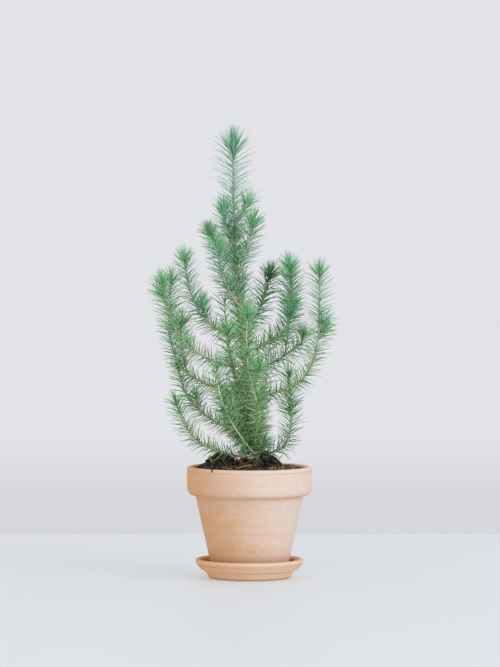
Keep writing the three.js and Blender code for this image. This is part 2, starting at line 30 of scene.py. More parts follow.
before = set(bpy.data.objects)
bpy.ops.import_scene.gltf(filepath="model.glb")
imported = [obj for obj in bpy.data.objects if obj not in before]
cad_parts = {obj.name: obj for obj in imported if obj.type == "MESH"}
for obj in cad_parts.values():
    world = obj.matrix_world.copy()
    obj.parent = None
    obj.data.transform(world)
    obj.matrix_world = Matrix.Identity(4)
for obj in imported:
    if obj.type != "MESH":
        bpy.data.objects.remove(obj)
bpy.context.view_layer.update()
scene = bpy.context.scene
scene.view_settings.view_transform = "Standard"

# ------------------------------------------------------------------ the room
# A white studio table in front of a pale wall, with the daylight of a wide window from the
# right and from the front. The camera stands five and a half metres off. None of it is the plant.

CAMERA_PLACE = (0.00068, -5.5, 0.546)  # metres
CAMERA_DOWN = 2.219  # degrees
FOCAL_PIXELS, PICTURE_HEIGHT = 4044, 667  # focal length, in pixels of the picture
SENSOR_HEIGHT = 36  # its longer side, which the picture fills
CAMERA_REACH = 50  # metres
TABLE_SIDES, TABLE_FRONT, TABLE_BACK, TABLE_TOP = 2200, -2600, 672, -0.2
WALL_HIGH, WALL_LOW = 0xE2E3E7, 0xD7D6DA
WALL_FROM, WALL_TO = -0.083, -0.062  # sines of the angles over level between which it changes
# The table's glow colour is painted light: an emission, though there is no lamp below.
TABLE_WHITE, TABLE_CLOUD, TABLE_PAINTED_GLOW = 0xAEB0B2, 0xABAEB1, 0xE0E5E9
PAINTED_GLOW_SHARE = 0.4  # of the table's brightness is its own glow, an emission: painted light, not a lamp
DAYLIGHT, ROOM_WARMTH = 0xF4F8FF, 0xFFE9D2


def linear(colour):
    """An sRGB hex colour as the linear one that shaders and lights take."""
    shares = [(colour >> shift & 255) / 255 for shift in (16, 8, 0)]
    return [s / 12.92 if s <= 0.04045 else ((s + 0.055) / 1.055) ** 2.4 for s in shares] + [1]


def add_node(tree, kind, inputs={}, **settings):
    """Adds a node with its settings, and fills its inputs with values or links."""
    added = tree.nodes.new("ShaderNode" + kind)
    for key, value in settings.items():
        setattr(added, key, value)
    for key, value in inputs.items():
        if isinstance(value, bpy.types.NodeSocket):
            tree.links.new(value, added.inputs[key])
        else:
            added.inputs[key].default_value = value
    return added


def new_finish(name, roughness, ior=1.5):
    """A new material with its node tree and its shader."""
    material = bpy.data.materials.new(name)
    material.use_nodes = True
    shader = material.node_tree.nodes["Principled BSDF"]
    shader.inputs["Roughness"].default_value = roughness
    shader.inputs["IOR"].default_value = ior
    return material, material.node_tree, shader


def per_mm(size):
    """The texture scale, in object coordinates, at which a pattern repeats at that size."""
    return 1000 / size


def made_piece(name, points, faces, finish, smooth=True):
    """A mesh object from places in millimetres and from faces that all have the same corners."""
    mesh = bpy.data.meshes.new(name)
    points = np.asarray(points, np.float64) / 1000
    faces = np.asarray(faces, np.int32)
    mesh.vertices.add(len(points))
    mesh.vertices.foreach_set("co", points.astype(np.float32).ravel())
    mesh.loops.add(faces.size)
    mesh.loops.foreach_set("vertex_index", faces.ravel())
    mesh.polygons.add(len(faces))
    mesh.polygons.foreach_set("loop_start", np.arange(0, faces.size, faces.shape[1], np.int32))
    mesh.polygons.foreach_set("use_smooth", np.full(len(faces), smooth))
    mesh.update(calc_edges=True)
    mesh.materials.append(finish)
    piece = bpy.data.objects.new(name, mesh)
    scene.collection.objects.link(piece)
    return piece


camera = bpy.data.objects.new("camera", bpy.data.cameras.new("camera"))
scene.collection.objects.link(camera)
scene.camera = camera
camera.location = CAMERA_PLACE
camera.rotation_euler = (math.radians(90 - CAMERA_DOWN), 0, 0)
camera.data.sensor_width = SENSOR_HEIGHT
camera.data.lens = FOCAL_PIXELS * SENSOR_HEIGHT / PICTURE_HEIGHT
camera.data.clip_end = CAMERA_REACH

wall = bpy.data.worlds.new("pale wall")
scene.world = wall
wall.use_nodes = True
tree = wall.node_tree
way = add_node(tree, "TexCoord").outputs["Generated"]
height = add_node(tree, "SeparateXYZ", {0: way}).outputs["Z"]
share = add_node(tree, "MapRange", {0: height, 1: WALL_FROM, 2: WALL_TO},
                 interpolation_type="SMOOTHSTEP").outputs[0]
paint = add_node(tree, "Mix", {0: share, 6: linear(WALL_LOW), 7: linear(WALL_HIGH)},
                 data_type="RGBA").outputs[2]
tree.links.new(paint, tree.nodes["Background"].inputs["Color"])

# Opal acrylic sheet, cast and satin: white, with a very faint unevenness. It glows by itself,
# a painted glow that stands in for light from below, so that what stands on it throws only a
# pale shadow.
opal, tree, shader = new_finish("opal white acrylic, with a painted glow", 0.55)
shader.inputs["Emission Color"].default_value = linear(TABLE_PAINTED_GLOW)
shader.inputs["Emission Strength"].default_value = PAINTED_GLOW_SHARE
shader.inputs["Specular IOR Level"].default_value = 0.25
where = add_node(tree, "TexCoord").outputs["Object"]
cloud = add_node(tree, "TexNoise", {"Vector": where, "Scale": per_mm(260), "Detail": 2}).outputs[0]
tint = add_node(tree, "Mix", {0: cloud, 6: linear(TABLE_WHITE), 7: linear(TABLE_CLOUD)},
                data_type="RGBA").outputs[2]
tree.links.new(tint, shader.inputs["Base Color"])
table_corners = [(-TABLE_SIDES, TABLE_FRONT, TABLE_TOP), (TABLE_SIDES, TABLE_FRONT, TABLE_TOP),
                 (TABLE_SIDES, TABLE_BACK, TABLE_TOP), (-TABLE_SIDES, TABLE_BACK, TABLE_TOP)]
table = made_piece("table", table_corners, [(0, 1, 2, 3)], opal, False)


def add_light(name, place, target, size, watts, colour):
    """A round, soft light at a place in metres, turned to its target."""
    lamp = bpy.data.lights.new(name, "AREA")
    lamp.shape, lamp.size, lamp.energy, lamp.color = "DISK", size, watts, linear(colour)[:3]
    light = bpy.data.objects.new(name, lamp)
    light.visible_camera = False
    scene.collection.objects.link(light)
    light.location = place
    light.rotation_euler = (Vector(target) - Vector(place)).to_track_quat("-Z", "Y").to_euler()


add_light("window", (3.2, -3.0, 2.6), (0, 0, 0.3), 4.4, 92, DAYLIGHT)
add_light("room", (-1.6, -4.2, 1.9), (0, 0, 0.2), 3.4, 28, ROOM_WARMTH)

# ------------------------------------------------------------------ saucer
# Earthenware, thrown with the pot: a foot, a step, and a rolled lip with a groove under it.
# The clay is unglazed, pale from the kiln in patches, and a little out of round. Its colour also
# holds painted light, paler on the window's side, and painted shade, darker in its grooves, at
# its foot and in its well.

SAUCER_OUTLINE = [  # radius, height and rounding of each corner of the section
    (0, 0, 0), (54.6, 0, 1.2), (60.4, 8.6, 0.8), (61.4, 10.2, 0.4), (65.2, 10.9, 1.2),
    (68.3, 14.2, 1.6), (69.2, 15.5, 0.6), (71.2, 17.8, 1.4), (72.2, 19.4, 1.0), (72.4, 20.2, 0.5),
    (73.6, 21.2, 1.2), (73.7, 24.9, 2.4), (70.4, 26.3, 2), (67.0, 25.4, 2),
    (64.6, 21.4, 2), (59.2, 9.4, 2.4), (55, 7, 2), (0, 7, 0),
]
# Painted shade in the grooves of the lip, at the step and at the foot's edge: height, half width,
# strength.
SAUCER_SHADED_CREASES = [(0.0, 2.4, 0.8), (10.5, 1.8, 0.8), (15.4, 1.0, 0.3), (20.2, 1.2, 0.5)]
SAUCER_LOW_SHADE = (0.5, 3.2, 0.7)  # painted shade low down: full below, gone above, and how strong at most
WELL_RADIUS, DEEP_SHADE_CLAY = 65.5, 0xA0683F  # a dark orange-brown for painted shade in the well and low down
WELL_EDGE = 1.5  # half the width over which the painted shade in the well fades
SAUCER_CLAY, SAUCER_PALE = 0xE6B48A, 0xEECDB0
CREASE_SHADE_CLAY = 0xF0BC8E  # a deeper orange: painted shade in the creases
TURNS = 168  # facets round a turned piece
RING_GAP = 5  # millimetres between the rings of the potter's hand
PAINTED_LIGHT_WAY = (1, -0.1, 0.42)  # the clay is painted paler towards the window at the right, and at the top: painted light


def rounded(outline, spacing):
    """The section with its corners rounded, as places no further apart than the spacing."""
    corners = np.array([corner[:2] for corner in outline], float)
    smooth = [corners[0]]
    for before, here, after, corner in zip(corners, corners[1:], corners[2:], outline[1:]):
        rounding = corner[2]
        start = here + (before - here) / np.linalg.norm(before - here) * rounding
        end = here + (after - here) / np.linalg.norm(after - here) * rounding
        for t in np.linspace(0, 1, 5 if rounding else 1):
            smooth.append((1 - t) ** 2 * start + 2 * t * (1 - t) * here + t * t * end)
    smooth.append(corners[-1])
    run = np.concatenate([[0], np.cumsum(np.linalg.norm(np.diff(smooth, axis=0), axis=1))])
    smooth = np.array(smooth)[np.concatenate([[True], np.diff(run) > 1e-6])]
    run = np.unique(run)
    places = np.unique(np.concatenate([run, *[np.linspace(a, b, int((b - a) / spacing) + 2)
                                              for a, b in zip(run, run[1:])]]).round(5))
    return np.stack([np.interp(places, run, smooth[:, axis]) for axis in (0, 1)], 1)


def turned(name, outline, spacing, lift, waver, finish):
    """Turns a section round the Z axis. waver gives what is added to each radius."""
    section = rounded(outline, spacing)
    closed = np.allclose(section[0], section[-1])
    rows = section[:-1] if closed else section[1:-1]
    angles = np.linspace(0, 2 * math.pi, TURNS, endpoint=False)
    steady = np.clip(rows[:, :1] / 20 - 1, 0, 1)  # the wheel's middle runs true
    radii = rows[:, :1] + waver(rows[:, :1], rows[:, 1:], angles) * steady
    heights = np.broadcast_to(rows[:, 1:] + lift, radii.shape)
    points = np.stack([radii * np.cos(angles), radii * np.sin(angles), heights], 2).reshape(-1, 3)
    count = len(rows)
    low = np.arange(count * TURNS).reshape(count, TURNS)
    high = np.roll(low, -1, 0) if closed else low[1:]
    low = low if closed else low[:-1]
    quads = np.stack([low, np.roll(low, -1, 1), np.roll(high, -1, 1), high], 2).reshape(-1, 4)
    faces = np.concatenate([quads[:, [0, 1, 2]], quads[:, [0, 2, 3]]])
    if not closed:
        foot, top = len(points), len(points) + 1
        points = np.vstack([points, [(0, 0, section[0, 1] + lift), (0, 0, section[-1, 1] + lift)]])
        ring = np.arange(TURNS)
        next_one = np.roll(ring, -1)
        last = (count - 1) * TURNS
        faces = np.vstack([faces, np.stack([next_one, ring, np.full(TURNS, foot)], 1),
                           np.stack([last + ring, last + next_one, np.full(TURNS, top)], 1)])
    return made_piece(name, points, faces, finish)


def terracotta(name, clay, pale, painted_light_from, painted_light_to, creases, low_shade):
    """Unglazed earthenware: matt and dusty, mottled by its firing, with patches of lime and a
    painted paleness on the window's side and top (painted light), painted shade in its creases
    and low down, fine grit and the rings of the potter's hand. Each crease has its height, half
    width and strength of painted shade."""
    finish, tree, shader = new_finish(name, 0.88)
    shader.inputs["Specular IOR Level"].default_value = 0.3
    where = add_node(tree, "TexCoord").outputs["Object"]
    sunward = add_node(tree, "VectorMath", {0: where, 1: PAINTED_LIGHT_WAY},
                       operation="DOT_PRODUCT").outputs[1]
    height = add_node(tree, "SeparateXYZ", {0: where}).outputs["Z"]
    squeezed = add_node(tree, "Mapping", {"Vector": where, "Scale": (1, 1, 3.2)}).outputs[0]
    mottle = add_node(tree, "TexNoise", {"Vector": squeezed, "Scale": per_mm(52), "Detail": 5,
                                         "Roughness": 0.62}).outputs[0]
    fleck = add_node(tree, "TexNoise", {"Vector": where, "Scale": per_mm(5),
                                        "Detail": 3}).outputs[0]
    # Painted light: the clay turns pale towards the window at the right and at the top; the noise
    # patches add lime.
    side = add_node(tree, "MapRange", {0: sunward, 1: painted_light_from, 2: painted_light_to},
                    interpolation_type="SMOOTHSTEP").outputs[0]
    patch = add_node(tree, "MapRange", {0: mottle, 1: 0.34, 2: 0.66, 3: -0.16, 4: 0.16}).outputs[0]
    lime_and_painted_light = add_node(tree, "Math", {0: side, 1: patch}, operation="ADD", use_clamp=True).outputs[0]
    body = add_node(tree, "Mix", {0: lime_and_painted_light, 6: linear(clay), 7: linear(pale)},
                    data_type="RGBA").outputs[2]
    # Painted shade: each crease turns the clay towards a deeper orange.
    for level, half_width, crease_shade in creases:
        off_crease = add_node(tree, "Math", {0: height, 1: level / 1000},
                              operation="SUBTRACT").outputs[0]
        away = add_node(tree, "Math", {0: off_crease}, operation="ABSOLUTE").outputs[0]
        bare = add_node(tree, "MapRange", {0: away, 1: 0.3 * half_width / 1000,
                                           2: half_width / 1000, 3: crease_shade, 4: 0.0}).outputs[0]
        body = add_node(tree, "Mix", {0: bare, 6: body, 7: linear(CREASE_SHADE_CLAY)},
                        data_type="RGBA").outputs[2]
    # Painted shade: the clay darkens low down, below the given heights.
    shade_full_below, shade_gone_above, low_shade_strength = low_shade
    low_shading = add_node(tree, "MapRange", {0: height, 1: shade_full_below / 1000, 2: shade_gone_above / 1000,
                                      3: low_shade_strength, 4: 0.0}).outputs[0]
    body = add_node(tree, "Mix", {0: low_shading, 6: body, 7: linear(DEEP_SHADE_CLAY)},
                    data_type="RGBA").outputs[2]
    spot = add_node(tree, "MapRange", {0: fleck, 1: 0.38, 2: 0.72, 3: 0.965, 4: 1.03}).outputs[0]
    shaded = add_node(tree, "Mix", {0: 1.0, 6: body, 7: spot}, data_type="RGBA",
                      blend_type="MULTIPLY").outputs[2]
    tree.links.new(shaded, shader.inputs["Base Color"])
    rings = add_node(tree, "TexWave", {"Vector": where, "Scale": per_mm(RING_GAP) / 20,
                                       "Distortion": 1.1, "Detail": 2, "Detail Scale": 0.6},
                     bands_direction="Z").outputs[0]
    grit = add_node(tree, "TexNoise", {"Vector": where, "Scale": per_mm(0.9),
                                       "Detail": 2}).outputs[0]
    ridges = add_node(tree, "Bump", {"Strength": 0.16, "Distance": 0.0004,
                                     "Height": rings}).outputs[0]
    surface = add_node(tree, "Bump", {"Strength": 0.3, "Distance": 0.00025, "Height": grit,
                                      "Normal": ridges}).outputs[0]
    tree.links.new(surface, shader.inputs["Normal"])
    return finish, tree, shader, shaded


def saucer_waver(radii, heights, angles):
    return 0.3 * np.cos(2 * angles + 0.8) + 0.12 * np.cos(5 * angles) + 0.1 * np.sin(heights * 1.1)


saucer_clay, tree, shader, clay_colour = terracotta(
    "earthenware saucer, unglazed", SAUCER_CLAY, SAUCER_PALE, -0.07, 0.05, SAUCER_SHADED_CREASES,
    SAUCER_LOW_SHADE)
# Painted shade in the saucer's well: the faces that look up between the pot and the lip are
# darkened.
where = add_node(tree, "TexCoord").outputs["Object"]
across = add_node(tree, "Mapping", {"Vector": where, "Scale": (1, 1, 0)}).outputs[0]
radius = add_node(tree, "VectorMath", {0: across}, operation="LENGTH").outputs[1]
within = add_node(tree, "MapRange", {0: radius, 1: (WELL_RADIUS + WELL_EDGE) / 1000,
                                     2: (WELL_RADIUS - WELL_EDGE) / 1000}).outputs[0]
normal = add_node(tree, "NewGeometry").outputs["Normal"]
facing = add_node(tree, "SeparateXYZ", {0: normal}).outputs["Z"]
upward = add_node(tree, "MapRange", {0: facing, 1: 0.1, 2: 0.35}).outputs[0]
damp = add_node(tree, "Math", {0: within, 1: upward}, operation="MULTIPLY").outputs[0]
well_shaded = add_node(tree, "Mix", {0: damp, 6: clay_colour, 7: linear(DEEP_SHADE_CLAY)},
                   data_type="RGBA").outputs[2]
tree.links.new(well_shaded, shader.inputs["Base Color"])
saucer = turned("clay_saucer", SAUCER_OUTLINE, 1.8, 0, saucer_waver, saucer_clay)
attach(saucer, "root")
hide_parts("saucer")

# ------------------------------------------------------------------ pot
# Thrown earthenware with straight sides, a thick band at the top, a rounded lip and a hole in
# the floor. It stands in the well of the saucer and is paler than it, with patches of lime. Its
# colour also holds painted light, paler on the window's side and at the top, and painted shade,
# darker in the creases under the band and the rim and low down above the saucer's lip.

POT_FOOT = 7.3  # height of its underside over the table
POT_HEIGHT = 144.7
BAND = POT_HEIGHT - 39
POT_OUTLINE = [
    (11, 0, 0), (50.8, 0, 1.8), (73.9, BAND - 0.8, 0.8), (84.9, BAND + 0.9, 8.5),
    (85.6, POT_HEIGHT - 7.2, 1.4), (84.8, POT_HEIGHT - 5.6, 0.8), (85.3, POT_HEIGHT - 4, 1),
    (84.4, POT_HEIGHT - 0.6, 2), (80.4, POT_HEIGHT, 1.8), (76.6, POT_HEIGHT - 0.9, 1.6),
    (75.3, POT_HEIGHT - 6, 2), (63.9, BAND, 6), (43.2, 9, 2), (11, 9, 0), (11, 0, 0),
]
# Painted shade in the creases under the band and under the rim: height, half width, strength.
POT_SHADED_CREASES = [(POT_FOOT + BAND - 0.3, 2.8, 0.75), (POT_FOOT + POT_HEIGHT - 5.6, 1.4, 0.15)]
# Painted shade low on the pot, just above the saucer's lip: full below, gone above, strength.
POT_LOW_SHADE = (23, 34, 0.15)
# The pale colour serves both the lime patches and the painted light on the window's side.
POT_CLAY, POT_LIME_AND_PAINTED_LIGHT = 0xDEAD82, 0xE6D1C2
THROWING_GAPS = (3.1, 4.3, 5.9, 8.2, 11.5, 17)  # between the rises of the wall
throwing = np.random.default_rng(11).uniform(0, 2 * math.pi, len(THROWING_GAPS))


def pot_waver(radii, heights, angles):
    round_off = 0.45 * np.cos(2 * angles + 2.1) + 0.2 * np.cos(3 * angles + 0.4 + heights / 90)
    rings = sum(0.05 * np.sin(2 * math.pi * heights / gap + phase + 0.5 * np.sin(angles + phase))
                for gap, phase in zip(THROWING_GAPS, throwing))
    return round_off + rings


pot_clay = terracotta("earthenware pot, limed, with painted light and shade", POT_CLAY, POT_LIME_AND_PAINTED_LIGHT, -0.035, 0.1,
                      POT_SHADED_CREASES, POT_LOW_SHADE)[0]
pot = turned("clay_pot", POT_OUTLINE, 1.7, POT_FOOT, pot_waver, pot_clay)
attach(pot, "root")
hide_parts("pot")

# ------------------------------------------------------------------ potting soil
# Peat and composted bark, heaped to the left and to the right of the trunk and a little below
# the rim at the wall: dark and damp where it is heaped, dry and brown at the right.

GROUND = 150
EDGE_DROP = 1.8
SOIL_DEPTH = 8  # of the body that the ground's skin closes
WALL_RADIUS = 74.2
STEM_FOOT = np.array([11.6, -4.0])
HEAPS = [  # place across the pot, height and spread
    (-43, 3, 15, 17), (-24, 12, 7, 12), (28, -10, 12, 10), (40, -10, 4, 9), (-8, 48, 6, 20),
    (-48, -36, 3, 13), (34, -34, 2, 16),
]
PEAT, PEAT_DRY = 0x2E2E2E, 0x746A5F
DRY_FROM, DRY_TO, DRY_SHARE = 35, 58, 0.6  # towards the right it has dried
chance = np.random.default_rng(21)


def eased(value, low, high):
    """From 0 at the low end to 1 at the high end, with a soft start and stop."""
    share = np.clip((value - low) / (high - low), 0, 1)
    return share * share * (3 - 2 * share)


def ground_at(x, y):
    """Height of the ground, with its heaps."""
    off_flat = eased(np.hypot(x - STEM_FOOT[0], y - STEM_FOOT[1]), 4, 16)
    to_wall = eased(np.hypot(x, y), 50, 74)
    rise = -EDGE_DROP * to_wall
    for heap_x, heap_y, tall, spread in HEAPS:
        away = np.hypot(x - heap_x, y - heap_y) / spread
        rise = rise + tall * np.exp(-away * away) * (1 - 0.8 * to_wall)
    return GROUND + rise * off_flat


def rough(points, size, seed=0.0):
    """Noise from -1 to 1 at places in millimetres, with lumps of about that size."""
    return np.array([noise.noise(Vector(point) / size + Vector((seed, seed, seed)))
                     for point in points])


sectors, rings = 180, 66
ring_radii = WALL_RADIUS * np.linspace(0, 1, rings + 1)[1:] ** 0.9
angles = np.linspace(0, 2 * math.pi, sectors, endpoint=False)
top = np.stack([np.outer(ring_radii, np.cos(angles)), np.outer(ring_radii, np.sin(angles))], 2)
flat = top.reshape(-1, 2)
spots = np.column_stack([flat, np.zeros(len(flat))])
heaped = np.clip((ground_at(flat[:, 0], flat[:, 1]) - GROUND) / 8, 0, 1)
crumbly = ((1.2 + 2.4 * heaped) * rough(spots, 9.5) + 1.7 * rough(spots, 4.6, 2.1)
           + 1.1 * np.abs(rough(spots, 2.2, 7.3)))
surface = np.column_stack([flat, ground_at(flat[:, 0], flat[:, 1]) + crumbly - 1.0])
under = surface[-sectors:] - [0, 0, SOIL_DEPTH]
middle = [(0, 0, ground_at(0, 0)), (0, 0, GROUND - EDGE_DROP - SOIL_DEPTH - 1)]
soil_points = np.vstack([surface, under, middle])
low = np.arange((rings + 1) * sectors).reshape(rings + 1, sectors)
quads = np.stack([low[:-1], low[1:], np.roll(low[1:], -1, 1), np.roll(low[:-1], -1, 1)], 2)
quads = quads.reshape(-1, 4)
ring = np.arange(sectors)
centre_top, centre_under = len(soil_points) - 2, len(soil_points) - 1
soil_faces = np.vstack([
    quads[:, [0, 1, 2]], quads[:, [0, 2, 3]],
    np.stack([ring, np.roll(ring, -1), np.full(sectors, centre_top)], 1),
    np.stack([rings * sectors + np.roll(ring, -1), rings * sectors + ring,
              np.full(sectors, centre_under)], 1),
])


def earthen(name, dark, light, lump, grain, pale_side=False):
    """Broken plant matter: matt, dark where it is damp and paler where it has dried."""
    finish, tree, shader = new_finish(name, 0.92)
    shader.inputs["Specular IOR Level"].default_value = 0.2
    where = add_node(tree, "TexCoord").outputs["Object"]
    patches = add_node(tree, "TexNoise", {"Vector": where, "Scale": per_mm(lump),
                                          "Detail": 3}).outputs[0]
    share = add_node(tree, "MapRange", {0: patches, 1: 0.42, 2: 0.7}).outputs[0]
    if pale_side:
        east = add_node(tree, "SeparateXYZ", {0: where}).outputs["X"]
        side = add_node(tree, "MapRange", {0: east, 1: DRY_FROM / 1000, 2: DRY_TO / 1000,
                                           3: 0.0, 4: DRY_SHARE}).outputs[0]
        share = add_node(tree, "Math", {0: share, 1: side}, operation="ADD",
                         use_clamp=True).outputs[0]
    colour = add_node(tree, "Mix", {0: share, 6: linear(dark), 7: linear(light)},
                      data_type="RGBA").outputs[2]
    tree.links.new(colour, shader.inputs["Base Color"])
    fine = add_node(tree, "TexNoise", {"Vector": where, "Scale": per_mm(grain),
                                       "Detail": 4}).outputs[0]
    surface = add_node(tree, "Bump", {"Strength": 0.6, "Distance": 0.0005,
                                      "Height": fine}).outputs[0]
    tree.links.new(surface, shader.inputs["Normal"])
    return finish


peat = earthen("peat and composted bark, damp", PEAT, PEAT_DRY, 9, 1.2, pale_side=True)
soil = made_piece("potting_soil", soil_points, soil_faces, peat)
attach(soil, "root")
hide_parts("soil")

# ------------------------------------------------------------------ bark lumps and crumbs
# Pieces of composted bark that lie on the heaps, black and damp, and dry brown crumbs that lie
# mostly at the right, along the wall. Each is a broken, angular grain.

LUMPS, CLOD_LUMPS, RIM_LUMPS, CRUMBS = 620, 150, 230, 2300
LUMP_SIZES, CLOD_SIZES, RIM_SIZES, CRUMB_SIZES = (1.5, 4.4), (1.8, 4.2), (1.0, 2.6), (0.6, 1.6)
LUMP_HEAPS = [  # share of the lumps, place and spread
    (0.5, -42, 2, 13), (0.2, 30, -10, 10), (0.1, -8, 44, 16), (0.2, 0, 0, 42),
]
CLOD_OUTLINE = [  # x and top of the tall clod beside the trunk
    (15, 150), (17, 171), (22, 176), (27, 174), (31, 168), (36, 161), (46, 151),
]
CLOD_MIDDLE, CLOD_CURVE, CLOD_SKIN = -12, 0.045, 12  # y, and how thick the lumps lie on it
CLOD_BOX, CLOD_TRIES = ((15, -30, 148), (47, 8, 178)), 4000
LUMPS_WITHIN, LUMPS_TO, FREE_ROUND_STEM = 69, 42, 9  # radius, x, and radius round the trunk
RIM_BAND, RIM_TURN = (56, 73), (-1.85, 0.62)  # radii, and middle and spread of the angles
DRY_BAND, DRY_TURN = (42, 73.5), (0.05, 0.62)  # the same for the crumbs at the dry side
CRUMBS_WITHIN = 72  # the radius for the others
AT_DRY_SIDE, PALE_CRUMBS = 0.6, 0.45  # shares of the crumbs
RIM_CRUMBS = [(-50.6, -68.0, 151.0, 1.7), (-50.9, -69.6, 149.0, 1.1), (33.0, -77.5, 152.2, 1.0)]
BARK_BLACK, BARK_GREY = 0x202324, 0x55564F
CRUMB_BROWN, CRUMB_RUST, CRUMB_TAN, CRUMB_PALE = 0x4A3A2E, 0x85634A, 0x9C8163, 0xC9AE8C


def random_turns(count, chance):
    """Rotation matrices in random directions."""
    w, x, y, z = chance.normal(size=(count, 4)).T
    size = np.sqrt(w * w + x * x + y * y + z * z)
    w, x, y, z = w / size, x / size, y / size, z / size
    return np.stack([
        np.stack([1 - 2 * (y * y + z * z), 2 * (x * y - z * w), 2 * (x * z + y * w)], 1),
        np.stack([2 * (x * y + z * w), 1 - 2 * (x * x + z * z), 2 * (y * z - x * w)], 1),
        np.stack([2 * (x * z - y * w), 2 * (y * z + x * w), 1 - 2 * (x * x + y * y)], 1),
    ], 1)


def grains(name, places, sizes, finish, chance, rounds=1):
    """Broken grains at their places, each with a shape of its own, as one mesh."""
    ball = bmesh.new()
    bmesh.ops.create_icosphere(ball, subdivisions=rounds, radius=1)
    base = np.array([vertex.co for vertex in ball.verts])
    base_faces = np.array([[vertex.index for vertex in face.verts] for face in ball.faces])
    ball.free()
    count = len(places)
    shapes = base[None] * chance.uniform(0.72, 1.2, (count, len(base), 1))
    sides = np.stack([np.ones(count), chance.uniform(0.45, 0.9, count),
                      chance.uniform(0.3, 0.75, count)], 1)
    shapes = shapes * sides[:, None] * sizes[:, None, None]
    shapes = np.einsum("nij,nkj->nki", random_turns(count, chance), shapes) + places[:, None]
    faces = base_faces[None] + (np.arange(count) * len(base))[:, None, None]
    return made_piece(name, shapes.reshape(-1, 3), faces.reshape(-1, 3), finish, False)


def on_ground(x, y, lift):
    """Places on the ground, lifted off it by so much."""
    return np.column_stack([x, y, ground_at(x, y) + lift])


odds, *heaps = np.array(LUMP_HEAPS).T
on_heap = chance.choice(len(LUMP_HEAPS), LUMPS, p=odds)
heap_x, heap_y, heap_spread = (column[on_heap] for column in heaps)
x = heap_x + chance.normal(size=LUMPS) * heap_spread
y = heap_y + chance.normal(size=LUMPS) * heap_spread
off_stem = np.hypot(x - STEM_FOOT[0], y - STEM_FOOT[1])
clear = (np.hypot(x, y) < LUMPS_WITHIN) & (off_stem > FREE_ROUND_STEM) & (x < LUMPS_TO)
x, y = x[clear], y[clear]
lump_sizes = chance.uniform(*LUMP_SIZES, len(x))
on_heaps = on_ground(x, y, lump_sizes * chance.uniform(0, 0.7, len(x)))

clod = chance.uniform(*CLOD_BOX, (CLOD_TRIES, 3))
clod_top = np.interp(clod[:, 0], *zip(*CLOD_OUTLINE))
clod_top = clod_top - CLOD_CURVE * (clod[:, 1] - CLOD_MIDDLE) ** 2
clod = clod[(clod[:, 2] < clod_top) & (clod[:, 2] > clod_top - CLOD_SKIN)][:CLOD_LUMPS]
clod_sizes = chance.uniform(*CLOD_SIZES, len(clod))

turn = chance.normal(*RIM_TURN, RIM_LUMPS)
away = chance.uniform(*RIM_BAND, RIM_LUMPS)
rim_x, rim_y = away * np.cos(turn), away * np.sin(turn)
rim_sizes = chance.uniform(*RIM_SIZES, RIM_LUMPS)
at_rim = on_ground(rim_x, rim_y, rim_sizes * chance.uniform(0.1, 0.8, RIM_LUMPS))
clinging = np.array(RIM_CRUMBS)

bark_black = earthen("composted pine bark, damp", BARK_BLACK, BARK_GREY, 5, 0.8)
lumps = grains("bark_lumps", np.vstack([on_heaps, clod, at_rim, clinging[:, :3]]),
               np.concatenate([lump_sizes, clod_sizes, rim_sizes, clinging[:, 3]]),
               bark_black, chance, 2)
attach(lumps, "root")

dry_side = chance.random(CRUMBS) < AT_DRY_SIDE
turn = np.where(dry_side, chance.normal(*DRY_TURN, CRUMBS), chance.uniform(0, 2 * math.pi, CRUMBS))
away = np.where(dry_side, chance.uniform(*DRY_BAND, CRUMBS),
                CRUMBS_WITHIN * np.sqrt(chance.random(CRUMBS)))
x, y = away * np.cos(turn), away * np.sin(turn)
crumb_sizes = chance.uniform(*CRUMB_SIZES, CRUMBS)
places = on_ground(x, y, crumb_sizes * chance.uniform(0.1, 0.9, CRUMBS))
pale = chance.random(CRUMBS) < PALE_CRUMBS
for name, dark, light, which in (("bark_crumbs", CRUMB_BROWN, CRUMB_RUST, ~pale),
                                 ("dry_crumbs", CRUMB_TAN, CRUMB_PALE, pale)):
    finish = earthen("bark crumbs, " + name.split("_")[0], dark, light, 4, 0.6)
    crumbs = grains(name, places[which], crumb_sizes[which], finish, chance)
    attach(crumbs, "root")

# ------------------------------------------------------------------ trunk
# One straight young stem that leans a little to the left, brown and finely fissured at its
# foot, and paler and cushioned by the bases of its needles higher up.

TRUNK_GROUND, TRUNK_TOP, TRUNK_TIP = 148, 574, 584
TRUNK_LEAN = 33.8
TRUNK_RADII = [5.3, 4.4, 3.2, 2.2, 1.5, 1.1, 0.9]
ROOT_FLARE, FLARE_HEIGHT = 2.6, 11
TRUNK_SIDES, TRUNK_STEP = 40, 1.5
FISSURED_TO = 190  # height over the ground at which the fissures have faded
PLATE_SIZE = 2.6
BARK_BROWN, BARK_TAN = 0x685A3D, 0x9C8E66
YOUNG_BROWN, YOUNG_TAN = 0x9A8C70, 0xCABCA2  # the stem in the top, a year or two old
YOUNG_FROM, YOUNG_ABOVE = 180, 340  # heights between which those colours take over
STATIONS = np.linspace(0, 1, 201)


